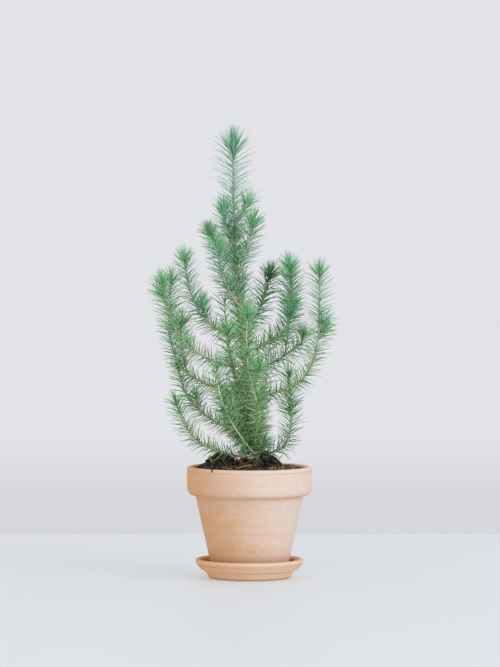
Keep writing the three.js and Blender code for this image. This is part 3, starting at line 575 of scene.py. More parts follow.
class Course:
    """A curve as evenly spaced places, with its directions and an axis across it."""

    def __init__(self, line):
        run = np.concatenate([[0], np.cumsum(np.linalg.norm(np.diff(line, axis=0), axis=1))])
        self.length = run[-1]
        even = STATIONS * self.length
        self.places = np.stack([np.interp(even, run, line[:, axis]) for axis in range(3)], 1)
        ways = np.gradient(self.places, axis=0)
        self.ways = ways / np.linalg.norm(ways, axis=1, keepdims=True)
        across = np.array([0.0, 1.0, 0.0])
        axes = []
        for way in self.ways:
            if abs(across @ way) > 0.9:
                across = np.array([1.0, 0.0, 0.0])
            across = across - (across @ way) * way
            across = across / np.linalg.norm(across)
            axes.append(across)
        self.axes = np.array(axes)

    def at(self, shares):
        """Places, directions and the two axes across them, at shares of the length."""
        place, way, across = (np.stack([np.interp(shares, STATIONS, rows[:, axis])
                                        for axis in range(3)], -1)
                              for rows in (self.places, self.ways, self.axes))
        way = way / np.linalg.norm(way, axis=-1, keepdims=True)
        across = across - (across * way).sum(-1, keepdims=True) * way
        across = across / np.linalg.norm(across, axis=-1, keepdims=True)
        return place, way, across, np.cross(way, across)


def trunk_axis(height):
    """The trunk's middle at a height. It leans to the left, and less towards its tip."""
    climb = (height - TRUNK_GROUND) / (TRUNK_TOP - TRUNK_GROUND)
    x = STEM_FOOT[0] - TRUNK_LEAN * np.sin(math.pi / 2 * np.minimum(climb, 1.05))
    return np.stack([x, np.full_like(x, STEM_FOOT[1]), height], -1)


def trunk_radius(height):
    """Half its thickness at a height, with the flare of its root."""
    place = np.clip((height - TRUNK_GROUND) / (TRUNK_TOP - TRUNK_GROUND), 0, 1) * 6
    flare = ROOT_FLARE * np.exp(-((height - TRUNK_GROUND) / FLARE_HEIGHT) ** 2 * 2)
    return np.interp(place, np.arange(7), TRUNK_RADII) + flare


def limb_mesh(course, start, end, radius_at, sides, step, relief):
    """The skin of a tapering limb between two shares of its course, closed at both ends."""
    rows = max(3, int(course.length * (end - start) / step) + 1)
    shares = np.linspace(start, end, rows)
    place, _, across, side = course.at(shares)
    angles = 2 * math.pi * np.arange(sides) / sides
    radii = radius_at(shares)[:, None] + relief(shares * course.length, angles)
    points = (place[:, None] + radii[..., None] * (np.cos(angles)[:, None] * across[:, None]
                                                   + np.sin(angles)[:, None] * side[:, None]))
    points = np.vstack([points.reshape(-1, 3), place[0], place[-1]])
    low = np.arange(rows * sides).reshape(rows, sides)
    quads = np.stack([low[:-1], np.roll(low[:-1], -1, 1), np.roll(low[1:], -1, 1), low[1:]], 2)
    quads = quads.reshape(-1, 4)
    ring = np.arange(sides)
    next_one = np.roll(ring, -1)
    last = (rows - 1) * sides
    faces = np.vstack([quads[:, [0, 1, 2]], quads[:, [0, 2, 3]],
                       np.stack([next_one, ring, np.full(sides, rows * sides)], 1),
                       np.stack([last + ring, last + next_one,
                                 np.full(sides, rows * sides + 1)], 1)])
    return points, faces


def trunk_relief(runs, angles):
    """Fissured plates at the foot that fade into the cushions of old needle bases."""
    radii = trunk_radius(runs + TRUNK_GROUND)[:, None]
    grid = np.stack([np.cos(angles) * radii, np.sin(angles) * radii,
                     np.broadcast_to(runs[:, None], (len(runs), len(angles)))], 2).reshape(-1, 3)
    plates = np.abs(rough(grid * [1, 1, 0.4], PLATE_SIZE)).reshape(len(runs), -1)
    fine = rough(grid, PLATE_SIZE / 2, 3.1).reshape(len(runs), -1)
    cushions = np.cos(5 * angles + runs[:, None] * 0.9) * np.cos(8 * angles - runs[:, None] * 0.7)
    barked = np.clip(1 - runs[:, None] / FISSURED_TO, 0.12, 1)
    relief = 0.9 * (0.35 - plates) * barked + 0.14 * fine + 0.16 * cushions * (1 - barked)
    return relief * np.minimum(1, radii / 2.4)


def bark(name, brown, tan, patch, grain, young=None):
    """Young pine bark: dry and matt, brown between paler scales, with fine cracks along it. The
    young colours, where they are given, take over higher up."""
    finish, tree, shader = new_finish(name, 0.82)
    shader.inputs["Specular IOR Level"].default_value = 0.3
    where = add_node(tree, "TexCoord").outputs["Object"]
    drawn = add_node(tree, "Mapping", {"Vector": where, "Scale": (1, 1, 0.4)}).outputs[0]
    scales = add_node(tree, "TexNoise", {"Vector": drawn, "Scale": per_mm(patch), "Detail": 4,
                                         "Roughness": 0.6}).outputs[0]
    share = add_node(tree, "MapRange", {0: scales, 1: 0.36, 2: 0.64}).outputs[0]
    colour = add_node(tree, "Mix", {0: share, 6: linear(brown), 7: linear(tan)},
                      data_type="RGBA").outputs[2]
    if young:
        fresh = add_node(tree, "Mix", {0: share, 6: linear(young[0]), 7: linear(young[1])},
                         data_type="RGBA").outputs[2]
        climb = add_node(tree, "SeparateXYZ", {0: where}).outputs["Z"]
        up = add_node(tree, "MapRange", {0: climb, 1: YOUNG_FROM / 1000,
                                         2: YOUNG_ABOVE / 1000}).outputs[0]
        colour = add_node(tree, "Mix", {0: up, 6: colour, 7: fresh}, data_type="RGBA").outputs[2]
    tree.links.new(colour, shader.inputs["Base Color"])
    cracks = add_node(tree, "TexNoise", {"Vector": drawn, "Scale": per_mm(grain),
                                         "Detail": 3}).outputs[0]
    surface = add_node(tree, "Bump", {"Strength": 0.5, "Distance": 0.0004,
                                      "Height": cracks}).outputs[0]
    tree.links.new(surface, shader.inputs["Normal"])
    return finish


trunk_course = Course(trunk_axis(np.linspace(TRUNK_GROUND, TRUNK_TIP, 400)))


def trunk_taper(shares):
    """Half the trunk's thickness at shares of its length."""
    return trunk_radius(np.interp(shares, STATIONS, trunk_course.places[:, 2]))


trunk_bark = bark("young pine bark, fissured", BARK_BROWN, BARK_TAN, 3.2, 0.9,
                  (YOUNG_BROWN, YOUNG_TAN))
points, faces = limb_mesh(trunk_course, 0, 1, trunk_taper, TRUNK_SIDES, TRUNK_STEP,
                          trunk_relief)
trunk = made_piece("trunk_with_bark", points, faces, trunk_bark)
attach(trunk, "root")
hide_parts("trunk")

# ------------------------------------------------------------------ boughs and twigs
# Every bough leaves the trunk almost level, runs out to its elbow and turns up to its tip. Its
# wood is tan and pliable, ridged by the needles' bases, and side twigs leave it in turn.

# Each limb's name, height on the trunk, azimuth, reach and height of its tip, then the shares of
# the way out and up at which its elbow lies, how sharp it bends there, and its share of old wood.
LIMBS = [
    ("left_high", 329, 193, 81, 435, 0.87, 0.09, 0.73, 0.3),
    ("left_outer", 288, 197, 118, 404, 0.86, 0.06, 0.73, 0.32),
    ("left_middle", 247, 170, 108, 406, 1.09, 0.17, 0.9, 0.28),
    ("left_low", 161, 193, 113, 242, 0.8, 0.21, 0.9, 0.28),
    ("left_rear", 185, 158, 113, 287, 0.9, 0.43, 0.9, 0.3),
    ("right_outer", 245, 348, 97, 417, 1.02, 0.11, 0.92, 0.28),
    ("right_rear", 274, 33, 92, 330, 1.04, 0.7, 0.76, 0.32),
    ("right_inner", 308, 9, 63, 425, 1.12, 0.18, 0.9, 0.28),
    ("right_high", 337, 54, 65, 413, 0.55, 0.12, 0.85, 0.2),
    ("right_low", 168, 26, 49, 277, 1.22, 0.03, 0.92, 0.24),
    ("front_left", 166, 232, 86, 292, 1.04, 0.54, 0.7, 0.24),
    ("front_centre", 193, 263, 63, 362, 0.84, 0.29, 0.92, 0.16),
    ("front_right", 263, 282, 80, 294, 0.81, 0.39, 0.72, 0.36),
    ("front_high", 229, 249, 89, 341, 0.81, 0.34, 0.72, 0.32),
    ("front_low", 188, 273, 78, 258, 0.8, 0.35, 0.72, 0.3),
    ("back_high", 297, 92, 78, 407, 0.81, 0.29, 0.72, 0.3),
    ("back_left", 249, 110, 100, 376, 0.81, 0.22, 0.78, 0.32),
    ("back_right", 215, 76, 104, 327, 0.8, 0.23, 0.78, 0.34),
    ("back_low", 181, 118, 103, 254, 0.81, 0.26, 0.78, 0.34),
    ("back_foot", 172, 85, 84, 235, 0.81, 0.2, 0.78, 0.32),
    ("crown_back", 378, 100, 54, 462, 0.8, 0.35, 0.72, 0),
    ("crown_left", 370, 228, 45, 453, 0.81, 0.36, 0.72, 0),
    ("crown_right", 410, 314, 30, 485, 0.66, 0.48, 0.72, 0),
    ("top_left", 422, 147, 43, 469, 0.72, 0.42, 0.72, 0),
    ("top_front", 451, 213, 19, 501, 0.85, 0.5, 0.72, 0),
    ("top_back", 479, 53, 28, 510, 0.65, 0.44, 0.72, 0),
]
PLACED_TWIGS = {  # share of the limb, azimuth, climb and length of twigs with a place of their own
    "front_centre": [(0.52, 335, 62, 20)],
    "left_high": [(0.38, 180, 75, 24)],
    "left_outer": [(0.85, 180, 62, 14)],
    "left_middle": [(0.4, 160, 82, 72)],
    "right_outer": [(0.6, 0, 55, 17)],
    "right_rear": [(0.6, 60, 83, 112)],
    "right_inner": [(0.5, 330, 78, 22)],
    "right_low": [(0.6, 110, 65, 16)],
}
SWAYS = {"front_centre": (31, -14)}  # how far a limb swings to the plant's right, low and high
TWIG_SPACING, TWIG_LENGTHS, TWIG_SHARES = 110, (14, 26), (0.15, 0.75)
TWIG_TURNS, TWIG_CLIMBS = (35, 75), (35, 60)
SPUR_SPACING, SPUR_LENGTHS = 120, (7, 13)  # the finest twigs, that carry only a small tuft
SPUR_TURNS, SPUR_CLIMBS = (-150, 150), (30, 65)
SPRIGS, SPRIG_HEIGHTS, SPRIG_LENGTHS, SPRIG_CLIMBS = 18, (153, 245), (16, 34), (48, 72)
FOOT_SPRIGS, FOOT_HEIGHTS, FOOT_LENGTHS, FOOT_CLIMBS = 16, (158, 226), (22, 50), (30, 62)
FOOT_TURNS = (165, 235)
BOUGH_TAN, BOUGH_BROWN = 0xD2C6A4, 0xA69A73
SHOOT_TAN, SHOOT_OLIVE = 0xD3CCAA, 0xABA87E
CROWN_ROSE, CROWN_GREY = 0xDDCDBD, 0xBDB09C
SHOOT_PALE, SHOOT_STRAW = 0xF0EBD2, 0xDAD2AE
SHOOT_MOSS, SHOOT_LEAF = 0x66804A, 0x8FA468
PALE_LIMBS = ("front_left", "front_centre")  # their wood is pale and dry
CROWN_LIMBS = ("crown_left", "crown_right", "top_left", "top_front", "top_back")  # a year old
GREEN_LIMBS = ("front_right", "front_high", "front_low", "back_foot", "trunk")  # still green
STEM_SUNK = 2  # how far from the trunk's axis a limb starts
BOUGH_SIDES, TWIG_SIDES = 12, 8  # facets round them
BOUGH_STEP, SHOOT_STEP, TWIG_STEP = 1.4, 1.5, 1.6  # and along them


def mixed(low, high, share):
    return low + (high - low) * share


def seeded(seed):
    """The source's own numbers from 0 to 1, so that its twigs grow here in their places."""
    state = seed * 2654435761 & 0xFFFFFFFF
    while True:
        state = state + 0x6D2B79F5 & 0xFFFFFFFF
        bits = (state ^ state >> 15) * (state | 1) & 0xFFFFFFFF
        bits ^= bits + ((bits ^ bits >> 7) * (bits | 61) & 0xFFFFFFFF) & 0xFFFFFFFF
        yield ((bits ^ bits >> 14) & 0xFFFFFFFF) / 4294967296


def outward_of(azimuth):
    """The level direction at an azimuth in degrees."""
    return np.array([math.cos(math.radians(azimuth)), math.sin(math.radians(azimuth)), 0])


def bezier(*controls):
    """The course of a Bezier curve, whatever the number of its controls."""
    shares = np.linspace(0, 1, 241)[:, None]
    levels = [np.asarray(control, float) + 0 * shares for control in controls]
    while len(levels) > 1:
        levels = [mixed(low, high, shares) for low, high in zip(levels, levels[1:])]
    return Course(levels[0])


def limb_course(leaves, azimuth, reach, top, out, up, bend, sways=(0, 0)):
    """Out from the trunk to its elbow, and up from there to its tip."""
    root = trunk_axis(np.array(float(leaves)))
    outward = outward_of(azimuth)
    tip = root + outward * reach
    elbow = root + outward * reach * out
    tip[2] = top
    elbow[2] = mixed(leaves, top, up)
    low, high = ([sway, 0, 0] for sway in sways)
    return bezier(root, mixed(root, elbow, bend) + low, mixed(tip, elbow, bend) + high, tip)


def twig_course(limb, share, azimuth, climb, length):
    """From a place along its limb to its tip, bent upwards a little."""
    root = limb.at(np.array([share]))[0][0]
    rise = math.radians(climb)
    end = root + outward_of(azimuth) * length * math.cos(rise) + [0, 0, length * math.sin(rise)]
    return bezier(root, mixed(root, end, 0.45) + outward_of(azimuth) * length * 0.13, end)


def bough_taper(reach, climb, stout):
    """The taper of a bough, which is thicker at its root the further it goes."""
    root = 1.75 * stout * mixed(0.72, 1, float(eased(reach + climb, 40, 260)))
    return lambda shares: mixed(root, 0.6, shares ** 0.55)


def straight_taper(root, tip):
    return lambda shares: mixed(root, tip, shares)


def stem_relief(runs, angles):
    """Low cushions, one under each needle, that wind round the stem."""
    winding = np.cos(2 * angles + runs[:, None] * 1.5) * np.cos(3 * angles - runs[:, None] * 1.1)
    return 0.13 * winding


shoots = []  # owner, course, share where its needles start, radius rule, kind
for index, (name, leaves, azimuth, reach, top, out, up, bend, bare) in enumerate(LIMBS):
    course = limb_course(leaves, azimuth, reach, top, out, up, bend, SWAYS.get(name, (0, 0)))
    stout = 0.85 if name in PALE_LIMBS else 1.25 if name in CROWN_LIMBS else 1
    shoots.append((name, course, bare, bough_taper(reach, top - leaves, stout), "limb"))
    draw = seeded(200 + index)
    placed = list(PLACED_TWIGS.get(name, []))
    more = math.floor(course.length * (1 - bare) / TWIG_SPACING) - len(placed)
    for number in range(more):
        side = -1 if next(draw) < 0.5 else 1
        turn = azimuth + side * mixed(*TWIG_TURNS, next(draw))
        share = mixed(bare, 1, mixed(*TWIG_SHARES, (number + next(draw)) / more))
        climb = mixed(*TWIG_CLIMBS, next(draw))
        placed.append((share, turn, climb, mixed(*TWIG_LENGTHS, next(draw))))
    for share, turn, climb, length in placed:
        thick = min(1.3, 0.75 + length / 90)
        shoots.append((name, twig_course(course, share, turn, climb, length), 0,
                       straight_taper(0.85 * thick, 0.7), "twig"))
    spurs = int(course.length * (1 - bare) / SPUR_SPACING)
    for number in range(spurs):
        share = mixed(bare, 1, (number + chance.uniform(0.2, 0.8)) / spurs * 0.82 + 0.04)
        turn = azimuth + chance.uniform(*SPUR_TURNS)
        spur = twig_course(course, share, turn, chance.uniform(*SPUR_CLIMBS),
                           chance.uniform(*SPUR_LENGTHS))
        shoots.append((name, spur, 0, straight_taper(0.75, 0.6), "spur"))

for number in range(SPRIGS):  # short shoots round the foot of the trunk
    leaves = mixed(*SPRIG_HEIGHTS, (number + chance.random()) / SPRIGS)
    share = (leaves - TRUNK_GROUND) / (TRUNK_TIP - TRUNK_GROUND)
    sprig = twig_course(trunk_course, share, 310 + number * 97 % 280,
                        chance.uniform(*SPRIG_CLIMBS), chance.uniform(*SPRIG_LENGTHS))
    shoots.append(("trunk", sprig, 0, straight_taper(1.1, 0.7), "twig"))

for number in range(FOOT_SPRIGS):  # and a thicket of them towards the left
    leaves = mixed(*FOOT_HEIGHTS, (number + chance.random()) / FOOT_SPRIGS)
    share = (leaves - TRUNK_GROUND) / (TRUNK_TIP - TRUNK_GROUND)
    sprig = twig_course(trunk_course, share, chance.uniform(*FOOT_TURNS),
                        chance.uniform(*FOOT_CLIMBS), chance.uniform(*FOOT_LENGTHS))
    shoots.append(("trunk", sprig, 0, straight_taper(1.1, 0.7), "twig"))

bough_wood = bark("pine bough, tan and ridged", BOUGH_BROWN, BOUGH_TAN, 7, 1.1)
shoot_wood = bark("pine shoot, tan and ridged", SHOOT_OLIVE, SHOOT_TAN, 9, 1.1)
pale_wood = bark("pine shoot, pale and ridged", SHOOT_STRAW, SHOOT_PALE, 9, 1.1)
green_wood = bark("pine shoot, green and ridged", SHOOT_MOSS, SHOOT_LEAF, 9, 1.1)
crown_wood = bark("pine shoot, rosy grey", CROWN_GREY, CROWN_ROSE, 9, 1.1)


def joined(meshes):
    """Several meshes as one list of places and one of faces."""
    starts = np.cumsum([0] + [len(points) for points, _ in meshes])
    return (np.vstack([points for points, _ in meshes]),
            np.vstack([faces + start for (_, faces), start in zip(meshes, starts)]))


def young_wood_of(name):
    """The piece that a limb's young wood and twigs belong to."""
    if name in PALE_LIMBS:
        return "pale_twigs"
    if name in GREEN_LIMBS:
        return "green_twigs"
    return "crown_twigs" if name in CROWN_LIMBS else "twigs"


stems = {"boughs": ([], bough_wood), "twigs": ([], shoot_wood), "pale_twigs": ([], pale_wood),
         "green_twigs": ([], green_wood), "crown_twigs": ([], crown_wood)}
for name, course, bare, radius_at, kind in shoots:
    sunk = STEM_SUNK / course.length
    young = stems[young_wood_of(name)][0]
    old = stems["pale_twigs" if name in PALE_LIMBS else "boughs"][0]
    if kind == "limb":
        if bare:
            old.append(limb_mesh(course, sunk, bare + sunk, radius_at, BOUGH_SIDES, BOUGH_STEP,
                                 stem_relief))
        young.append(limb_mesh(course, bare or sunk, 1, radius_at, BOUGH_SIDES, SHOOT_STEP,
                               stem_relief))
    else:
        young.append(limb_mesh(course, 0, 1, radius_at, TWIG_SIDES, TWIG_STEP, stem_relief))
for name, (meshes, wood) in stems.items():
    piece = made_piece(name, *joined(meshes), wood)
    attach(piece, "root")
    if name == "boughs":
        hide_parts(*["bough_" + limb for limb, *_, bare in LIMBS
                             if bare and limb not in PALE_LIMBS])
    elif name == "pale_twigs":
        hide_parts(*["bough_" + limb for limb in PALE_LIMBS])
    else:
        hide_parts(*["needles_" + limb for limb, *_ in LIMBS
                             if young_wood_of(limb) == name])

# ------------------------------------------------------------------ needles
# The needles of a young plant: single, flat, two to three centimetres long and bloomed with
# wax, blue-green in the top and fresh green below. They wind up every shoot and close in a tuft
# round its tip, and the old ones on the low boughs hang and curl.

NEEDLE_LENGTHS = (23, 25, 21)  # in the tuft, along the shoot, at its root
LEADER_LENGTHS = (34, 34, 25)  # the same on the trunk's own tip
NEEDLE_ANGLES = (3, 48, 63, 67)  # from the shoot: at its tip, in the tuft, along it, at its root
CROWN_ANGLES = (2, 42, 52, 58)  # the same on the top's side shoots
LEADER_ANGLES = (1, 44, 66, 50)
TUFT_OPENS, LEADER_OPENS = 3.5, 6  # distance from the tip at which the tuft has opened
TUFTWARD, MIDWAY, ROOTWARD = 22, 28, 125  # distances from the tip at which these settle
NEEDLE_HALF_WIDTH, NEEDLE_FLATNESS = 0.68, 0.5
GOLDEN_TURN = math.radians(137.508)
TUFT_DEPTH, LEADER_DEPTH = 5.5, 6.5
TUFT_CROWD, LOW_TUFT_CROWD, LEADER_CROWD = 7.6, 3.5, 11.5  # needles for each millimetre
SHOOT_CROWD, BOUGH_CROWD = 1.52, 1.4
STEM_CROWD, TRUNK_CROWD, TRUNK_FOOT_CROWD = 1.6, 2.9, 1.35
FULLNESS = {  # share of that many needles, fewer on limbs that stand in the shade of others
    "trunk": 0.8, "front_right": 0.5, "front_high": 0.7, "front_low": 0.5, "back_high": 0.4,
    "back_left": 0.38, "back_right": 0.38, "back_low": 0.7, "back_foot": 0.4, "crown_back": 0.9,
    "right_low": 0.95, "right_inner": 1.35, "right_high": 1.2, "crown_right": 1.3,
    "crown_left": 1.3, "top_front": 1.25, "top_left": 1.2, "left_outer": 0.85, "right_outer": 0.95,
}
LOOSE_TUFTS = ("right_low", "front_left")
PARTED = PALE_LIMBS + ("crown_right", "crown_left")  # their needles part and show the wood,
PARTED_FRONT, PARTED_FROM, PARTED_KEPT = -0.62, 18, 0.3  # save in the tuft and for a few
LOW_SHORTER, LEADER_STRAIGHTER = 0.88, 0.6  # length of low needles, bow of the leader's
FOOT_CROWD_BELOW, TRUNK_CROWD_BELOW = 250, 490  # heights on the trunk
FREE_OF_TRUNK, FREE_OF_BOUGH = 12, 0.12  # no needles on this length, or share, at a shoot's root
TUFT_ZONE, LEADER_ZONE, SHOOT_ZONE = 13, 20, 100  # how far from the tip each cast of tones goes
TRUNK_MASSES = ["needles_trunk_low", "needles_trunk_middle", "needles_trunk_high",
                "needles_leader"]
NEEDLED_FROM = 160  # height on the trunk
HANGS_BELOW = 225  # height on the trunk under which its old needles hang
LOWEST_NEEDLE, LOWEST_AT_TRUNK = 157, 150.5
SLACK = 7  # how far a needle may reach past the middle between two limbs
LINK_LENGTH, WOOD_GAP = 12, 0.3  # needles stay this clear of the wood
PROFILE = [(0.0, 1.0), (0.14, 1.15), (0.48, 0.92), (0.8, 0.52)]  # share of length, share of width

# The soft and frosted needles stand partly for the wax bloom and partly for glints of light
# (painted highlight); the deep and shaded ones partly for the shade inside the crown (painted
# shade).
TONES = {
    "frosted": 0xBCE0D0,
    "cool": 0x8FCBAA,
    "teal": 0x6DB58E,
    "fresh": 0x8CD08C,
    "leafy": 0x7FBB76,
    "soft": 0xBAD9B0,
    "deep": 0x5B9B5C,
    "shaded": 0x41773F,
    "olive": 0xA0B571,
    "dry": 0xC79E70,
}
# The inner parts of the shoots, and the limbs that stand behind or in the shade of others (the dark
# cast), take more deep and shaded needles: painted shade.
CASTS = {  # for tuft, shoot and inner part: how many of a hundred needles have each tone
    "leader": ({"teal": 42, "cool": 44, "frosted": 14},
               {"frosted": 60, "cool": 27, "teal": 13},
               {"cool": 30, "leafy": 25, "frosted": 15, "deep": 30}),
    "crown": ({"fresh": 52, "cool": 22, "deep": 8, "frosted": 18},
              {"cool": 28, "frosted": 30, "leafy": 24, "deep": 18},
              {"leafy": 42, "deep": 22, "soft": 36}),
    "cool": ({"fresh": 55, "cool": 20, "deep": 6, "frosted": 19},
             {"cool": 25, "soft": 20, "frosted": 20, "deep": 35},
             {"leafy": 40, "shaded": 30, "soft": 30}),
    "airy": ({"fresh": 45, "cool": 30, "frosted": 15, "deep": 10},
             {"frosted": 42, "cool": 25, "soft": 18, "deep": 15},
             {"leafy": 40, "deep": 30, "soft": 30}),
    "dark": ({"deep": 55, "shaded": 35, "leafy": 10},
             {"leafy": 28, "deep": 40, "shaded": 20, "frosted": 12},
             {"deep": 55, "shaded": 35, "soft": 10}),
    "pale": ({"fresh": 60, "cool": 25, "soft": 15},
             {"soft": 30, "fresh": 35, "leafy": 15, "deep": 20},
             {"leafy": 40, "soft": 30, "deep": 30}),
    "green": ({"fresh": 45, "leafy": 25, "soft": 15, "shaded": 15},
              {"leafy": 30, "fresh": 15, "deep": 15, "soft": 25, "shaded": 15},
              {"deep": 25, "leafy": 25, "shaded": 28, "soft": 22}),
    "low": ({"fresh": 45, "leafy": 25, "soft": 15, "shaded": 15},
            {"leafy": 38, "fresh": 6, "soft": 28, "olive": 14, "deep": 14},
            {"deep": 26, "shaded": 18, "leafy": 30, "soft": 21, "dry": 5}),
}
CAST_OF = {
    "front_centre": "pale", "left_outer": "pale", "left_middle": "cool", "right_outer": "airy",
    "top_left": "crown", "top_front": "crown", "top_back": "crown", "crown_back": "crown",
    "crown_left": "crown", "crown_right": "crown", "right_inner": "cool", "left_high": "cool",
    "right_high": "dark", "back_high": "dark", "back_left": "dark",
    "left_low": "low", "left_rear": "low", "back_low": "low", "back_foot": "low",
    "front_low": "low", "trunk": "low",
}  # all other limbs are green
# Low on the trunk no cast counts, and some needles have dried between two heights.
FOOT_TONES = {"leafy": 0.26, "deep": 0.13, "shaded": 0.07, "fresh": 0.24, "soft": 0.3}
FOOT_TONES_BELOW, DRIED_BETWEEN, DRIED = 380, (195, 280), 0.22


def needle_reach(from_tip, lengths):
    """Length of a needle, by its distance from the shoot's tip."""
    grown_out = mixed(lengths[0], lengths[1], eased(from_tip, 0, TUFTWARD))
    return mixed(grown_out, lengths[2], eased(from_tip, MIDWAY, ROOTWARD))


def needle_lean(from_tip, angles, opens):
    """Angle between a needle and its shoot, by the same distance."""
    tip, tuft, along, root = angles
    opened = mixed(tip, tuft, np.clip(from_tip / opens, 0, 1) ** 1.25)
    opened = mixed(opened, along, eased(from_tip, opens, MIDWAY))
    return np.radians(mixed(opened, root, eased(from_tip, MIDWAY, ROOTWARD)))


def segment_distances(a, b, c, d):
    """Distances between segments a to b and segments c to d."""
    u, v, w = b - a, d - c, a - c
    uu, uv, vv = (u * u).sum(-1), (u * v).sum(-1), (v * v).sum(-1)
    uw, vw = (u * w).sum(-1), (v * w).sum(-1)
    slope = np.maximum(uu * vv - uv * uv, 1e-9)
    s = np.clip((uv * vw - vv * uw) / slope, 0, 1)
    t = np.clip((uv * s + vw) / vv, 0, 1)
    s = np.clip((uv * t - uw) / uu, 0, 1)
    return np.linalg.norm(w + u * s[..., None] - v * t[..., None], axis=-1)


# The wood as chains of short straight links: their ends, radii and limbs.
chain_starts, chain_ends, chain_radii, chain_owners = [], [], [], []
owners = ["trunk"] + [limb[0] for limb in LIMBS]


def add_chain(owner, course, radius_at):
    count = max(3, math.ceil(course.length / LINK_LENGTH))
    shares = np.linspace(0, 1, count + 1)
    places = course.at(shares)[0]
    chain_starts.append(places[:-1])
    chain_ends.append(places[1:])
    chain_radii.append(radius_at(shares[:-1]))
    chain_owners.append(np.full(count, owners.index(owner)))


add_chain("trunk", trunk_course, trunk_taper)
for name, course, bare, radius_at, kind in shoots:
    if kind != "spur":
        add_chain(name, course, radius_at)
chain_starts, chain_ends = np.vstack(chain_starts), np.vstack(chain_ends)
chain_radii, chain_owners = np.concatenate(chain_radii), np.concatenate(chain_owners)


def has_room(roots, tips, owner):
    """Which needles stay in their mass's own space, above the rim and clear of other limbs."""
    own = chain_owners == owners.index(owner)
    middles = mixed(roots, tips, 0.5)
    away = segment_distances(middles[:, None], tips[:, None], chain_starts, chain_ends)
    own_away = away[:, own].min(1)
    other_away = away[:, ~own & (chain_owners > 0)].min(1)
    inner = mixed(roots, tips, 0.4)
    own_gap = segment_distances(inner[:, None], tips[:, None], chain_starts[own], chain_ends[own])
    gap = segment_distances(roots[:, None], tips[:, None], chain_starts[~own], chain_ends[~own])
    clear = ((own_gap > chain_radii[own] + WOOD_GAP).all(1)
             & (gap > chain_radii[~own] + WOOD_GAP).all(1))
    lowest = LOWEST_AT_TRUNK if owner == "trunk" else LOWEST_NEEDLE
    return clear & (own_away <= other_away + SLACK) & (tips[:, 2] > lowest)


def spiral_marks(length, crowd_at):
    """Distances from the tip at which needles stand."""
    marks = [0.4]
    while marks[-1] < length:
        marks.append(marks[-1] + 1 / crowd_at(marks[-1]))
    return np.array(marks[:-1])


grown = []  # root, chord, bow, length, width and tone of each needle, shoot by shoot
tone_names = list(TONES)
luck = np.random.default_rng(5)


def grow(owner, cast, course, radius_at, needled_from, crowd_at, leads=False, old=0.0):
    """Needles wind up a shoot to its tip. Old ones sag, and hang at the trunk's foot."""
    marks = spiral_marks(course.length * (1 - needled_from), crowd_at)
    count = len(marks)
    shares = 1 - marks / course.length
    place, way, across, side = course.at(shares)
    turn = GOLDEN_TURN * np.arange(count) + luck.normal(0, 0.12, count)
    outward = np.cos(turn)[:, None] * across + np.sin(turn)[:, None] * side
    reach = needle_reach(marks, LEADER_LENGTHS if leads else NEEDLE_LENGTHS)
    reach = reach * luck.normal(1, 0.08, count).clip(0.75, 1.16)
    reach = reach * (LOW_SHORTER if cast == "low" else 1)
    opening = (LEADER_ANGLES, LEADER_OPENS) if leads else (
        CROWN_ANGLES if cast == "crown" else NEEDLE_ANGLES, TUFT_OPENS)
    lean = needle_lean(marks, *opening) + luck.normal(0, 0.1, count)
    if owner == "trunk":
        lean = lean + luck.uniform(0, 0.9, count) * (place[:, 2] < HANGS_BELOW)
    chord = np.cos(lean)[:, None] * way + np.sin(lean)[:, None] * outward
    arch = -np.sin(lean)[:, None] * way + np.cos(lean)[:, None] * outward
    sag = np.array([0, 0, -1.0]) + chord * chord[:, 2:]
    bow = (arch * luck.normal(0.05, 0.12, count)[:, None]
           + np.cross(chord, outward) * luck.normal(0, 0.12, count)[:, None]
           + sag * (luck.uniform(0.02, 0.08, count) + old * luck.uniform(0, 0.3, count))[:, None])
    bow = bow * (LEADER_STRAIGHTER if leads else 1)
    roots = place + outward * (radius_at(shares) * 0.75)[:, None]
    tips = roots + chord * reach[:, None]
    keeps = has_room(roots, tips, owner)
    if owner in PARTED:
        keeps &= ((outward[:, 1] > PARTED_FRONT) | (marks < PARTED_FROM)
                  | (luck.random(count) < PARTED_KEPT))
    in_tuft, on_shoot = marks < (LEADER_ZONE if leads else TUFT_ZONE), marks < SHOOT_ZONE
    zones = np.where(in_tuft, 0, np.where(on_shoot, 1, 2))
    tone = np.zeros(count, int)
    for zone, weights in enumerate(CASTS[cast]):
        odds = np.array(list(weights.values())) / sum(weights.values())
        spray = luck.choice(len(weights), count // 2 + 1, p=odds)[np.arange(count) // 2]
        tones = np.array([tone_names.index(tone_name) for tone_name in weights])
        tone = np.where(zones == zone, tones[spray], tone)
    width = luck.uniform(0.85, 1.15, count)
    grown.append([rows[keeps] for rows in (roots, chord, bow, reach, width, tone,
                                           np.full(count, owners.index(owner)))])


def tip_crowd(mark, depth, in_tuft, on_shoot):
    """Needles for each millimetre: crowded in the tuft, fewer on the shoot under it."""
    return mixed(in_tuft, on_shoot, float(eased(mark, depth * 0.6, depth * 1.8)))


def shoot_crowd(bare_from, fullness, tuft):
    def crowd(mark):
        if mark > bare_from:
            return BOUGH_CROWD * fullness
        return fullness * tip_crowd(mark, TUFT_DEPTH, tuft, SHOOT_CROWD)
    return crowd


def trunk_crowd(mark):
    height = TRUNK_TIP - mark
    if height < FOOT_CROWD_BELOW:
        return TRUNK_FOOT_CROWD
    if height < TRUNK_CROWD_BELOW:
        return TRUNK_CROWD
    return tip_crowd(mark, LEADER_DEPTH, LEADER_CROWD, STEM_CROWD)


